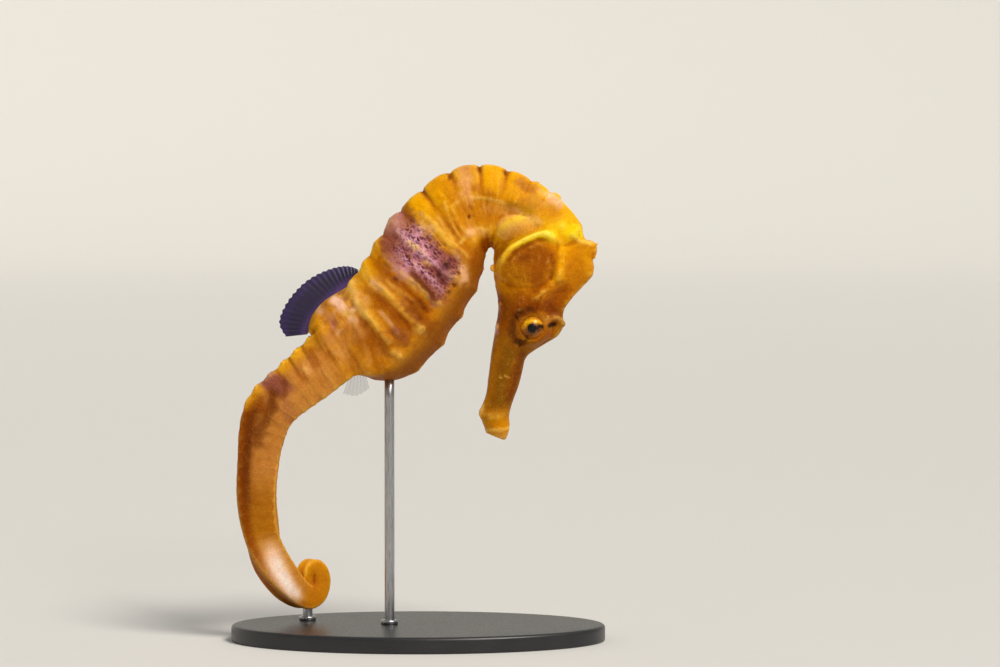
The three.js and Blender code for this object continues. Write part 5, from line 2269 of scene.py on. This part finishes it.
@dataclass(frozen=True)
class FinFinish:
    """A thin membrane with paler rays, see-through all over."""

    name: str = "violet_fin"
    root: Colour = (88, 58, 132)
    middle: Colour = (28, 10, 58)
    margin: Colour = (40, 18, 80)
    ray: Colour = (64, 40, 112)
    web_alpha: float = 0.92
    ray_alpha: float = 0.9

    def dressed(self, part: str, alpha: float, tinted: Callable[[Wiring], Output]) -> Material:
        """A see-through material.

        Args:
            part: what it is for.
            alpha: how much it covers.
            tinted: wires the colour.

        Returns:
            The material.
        """
        name = f"{self.name}_{part}"
        if name in bpy.data.materials:
            return bpy.data.materials[name]
        made, w = new_material(name)
        patch, fine, height = w.grain(600.0, 3000.0)
        colour = tinted(w)
        colour = w.mix(w.spread(patch, 0.35, 0.7, 0, 0.2), colour, w.mix(1.0, colour, colour, "MULTIPLY"))
        cover = w.spread(fine, 0.3, 0.7, alpha * 0.94, min(1.0, alpha * 1.03))
        w.surface(0.00002, height, Base_Color=colour, Roughness=0.35, Alpha=cover)
        return made

    def web(self) -> Material:
        """Wires the membrane's material: pale at its root, deep in the middle and lighter along the margin.

        Returns:
            The material.
        """
        def tinted(w: Wiring) -> Output:
            """Wires the colour from root to margin.

            Args:
                w: the material's wiring.

            Returns:
                The colour's socket.
            """
            off = w.attribute("off_base")
            colour = w.mix(w.spread(off, 0.05, 0.45), linear(self.root), linear(self.middle))
            return w.mix(w.spread(off, 0.72, 0.86), colour, linear(self.margin))
        return self.dressed("web", self.web_alpha, tinted)

    def rays(self) -> Material:
        """The rays' material."""
        return self.dressed("rays", self.ray_alpha, lambda w: w.mix(0.5, linear(self.ray), linear(self.margin)))


@dataclass(frozen=True)
class BaseFinish:
    """Satin black acrylic."""

    tint: Colour = (30, 30, 33)
    worn: Colour = (44, 43, 44)

    def material(self) -> Material:
        """Wires the base's material.

        Returns:
            The material.
        """
        made, w = new_material("satin_black")
        patch, fine, height = w.grain(120.0, 2600.0)
        colour = w.mix(w.spread(patch, 0.35, 0.7, 0, 0.5), linear(self.tint), linear(self.worn))
        w.surface(0.000012, height, Base_Color=colour, Roughness=w.spread(fine, 0.2, 0.8, 0.3, 0.42))
        return made


@dataclass(frozen=True)
class SteelFinish:
    """Brushed steel, drawn along the rods."""

    tint: Colour = (196, 196, 198)
    line: Colour = (150, 150, 153)

    def material(self) -> Material:
        """Wires the rods' material.

        Returns:
            The material.
        """
        made, w = new_material("drawn_steel")
        patch, fine, height = w.grain(4000.0, 16000.0, (1.0, 1.0, 0.03))
        colour = w.mix(w.spread(fine, 0.3, 0.7), linear(self.tint), linear(self.line))
        rough = w.spread(patch, 0.3, 0.7, 0.24, 0.4)
        w.surface(0.00001, height, Base_Color=colour, Roughness=rough, Metallic=1.0)
        return made


# ---- studio


@dataclass(frozen=True)
class Lamp:
    """A soft light: where it hangs, how wide it is and its power in watts, all in metres."""

    name: str
    at: Place
    wide: float
    power: float
    tint: Colour = (255, 255, 255)


@dataclass
class Studio:
    """Pale floor and walls in one sweep, soft lights and the camera, in metres."""

    floor: float = 2.2
    wall: float = 3.2
    high: float = 1.1
    floor_tint: Colour = (214, 213, 210)
    target: Place = (0.01312, 0.0, 0.04928)
    distance: float = 0.6
    elevation: float = math.radians(2.5)
    lens: float = 135.0
    sky: float = 0.42
    sky_tint: Colour = (238, 240, 244)
    sun: float = 2.7
    sun_tint: Colour = (255, 248, 236)
    sun_from: Place = (0.55, -0.6, 1.0)
    sun_wide: float = math.radians(24)
    lamps: tuple[Lamp, ...] = (Lamp("catch", (0.22, -0.5, 0.3), 0.1, 0.45),)

    def sweep(self) -> None:
        """The floor, curving up into a round wall."""
        corner = self.wall - self.floor
        profile = [(0.001, 0.0), (0.3, 0.0), (1.0, 0.0), (self.floor, 0.0)]
        profile += [
            (self.floor + corner * math.sin(a), corner * (1 - math.cos(a)))
            for a in np.linspace(0.05, math.pi / 2, 30)
        ]
        profile += [(self.wall, corner + self.high)]
        form = tube_form(turned(profile, 128), closed_ends=False)
        mesh = bpy.data.meshes.new("sweep")
        mesh.from_pydata(form.points.tolist(), [], form.faces)
        mesh.shade_smooth()
        material, w = new_material("pale_sweep")
        w.surface(Base_Color=linear(self.floor_tint), Roughness=0.95, Specular_IOR_Level=0.1)
        mesh.materials.append(material)
        piece = bpy.data.objects.new("sweep", mesh)
        bpy.context.scene.collection.objects.link(piece)

    def hang(self, name: str, kind: str, at: Sequence[float]) -> bpy.types.Light:
        """Hangs a light that looks at the animal.

        Args:
            name: the light's name.
            kind: Blender's name of the light type.
            at: where it hangs, in metres.

        Returns:
            The light's settings.
        """
        data = bpy.data.lights.new(name, kind)
        made = bpy.data.objects.new(name, data)
        made.location = at
        made.rotation_euler = (Vector(self.target) - Vector(at)).to_track_quat("-Z", "Y").to_euler()
        made.visible_camera = False
        bpy.context.scene.collection.objects.link(made)
        return data

    def light(self) -> None:
        """Hangs the lights and sets a pale sky above the walls."""
        key = self.hang("key", "SUN", self.sun_from)
        key.energy, key.angle, key.color = self.sun, self.sun_wide, linear(self.sun_tint)[:3]
        for lamp in self.lamps:
            data = self.hang(lamp.name, "AREA", lamp.at)
            data.shape, data.size, data.energy = "DISK", lamp.wide, lamp.power
            data.color = linear(lamp.tint)[:3]
        world = bpy.data.worlds.new("sky")
        world.use_nodes = True
        w = Wiring(world.node_tree)
        sky = w.add("ShaderNodeBackground", {"Color": linear(self.sky_tint), "Strength": self.sky})
        w.add("ShaderNodeOutputWorld", {"Surface": sky.outputs[0]})
        bpy.context.scene.world = world

    def camera(self) -> None:
        """Sets the camera square to the animal's right side."""
        data = bpy.data.cameras.new("camera")
        data.lens, data.sensor_width = self.lens, SENSOR
        data.clip_start, data.clip_end = 0.01, 20.0
        made = bpy.data.objects.new("camera", data)
        goal = Vector(self.target)
        away = Vector((0, -math.cos(self.elevation), math.sin(self.elevation)))
        made.location = goal + away * self.distance
        made.rotation_euler = (-away).to_track_quat("-Z", "Y").to_euler()
        bpy.context.scene.collection.objects.link(made)
        bpy.context.scene.camera = made

    def build(self) -> None:
        """Sets the whole studio and how its light becomes a picture."""
        self.camera()
        self.sweep()
        self.light()
        scene = bpy.context.scene
        scene.view_settings.view_transform = "Standard"
        scene.cycles.use_denoising = True


# ---- the whole model


def fins() -> tuple[Fin, ...]:
    """All fins of the animal.

    Returns:
        The dorsal fin, the anal fin and the pectoral fins.
    """
    dorsal = Fin(
        "dorsal", "dorsal_fin", (-9.6, 58.8), (-17.7, 49.2), 22, 88, 187,
        (0.7, 2.5, 3.8, 4.8, 5.6, 6.0, 6.1, 5.6, 3.5),
    )
    small = {"wave": 0.0, "sway": 0.1, "thick": 0.06}
    anal = Fin(
        "anal", "anal_fin", (-8.4, 42.6), (-11.0, 42.4), 6, 286, 250, (2.2, 3.2, 3.0), ray_thick=0.025, **small
    )
    pectorals = (
        Fin(
            f"pectoral_{side.name.lower()}", f"pectoral_fin_{side.name.lower()}", (18.9, 65.6), (14.1, 64.3),
            10, 72, 150, (2.2, 3.0, 2.2), hinge=side * math.radians(-24), aside=side * 4.75, ray_thick=0.035,
            **small,
        )
        for side in Side
    )
    return (dorsal, anal, *pectorals)


def main() -> None:
    """Builds the studio, the animal and its stand."""
    logging.basicConfig(level=logging.INFO, format="%(name)s %(message)s")
    Studio().build()
    Skin().build(SkinFinish())
    Eyes().build(EyeFinish())
    violet = FinFinish()
    faint = FinFinish("faint_fin", web_alpha=0.12, ray_alpha=0.3)
    clear = FinFinish("clear_fin", (236, 166, 30), (236, 176, 60), (244, 196, 90), (236, 172, 50), 0.07, 0.4)
    for fin in fins():
        fin.build({"dorsal": violet, "anal": faint}.get(fin.name, clear))
    stand = Stand()
    stand.base(BaseFinish())
    stand.rods(SteelFinish())


if __name__ == "__main__":
    main()
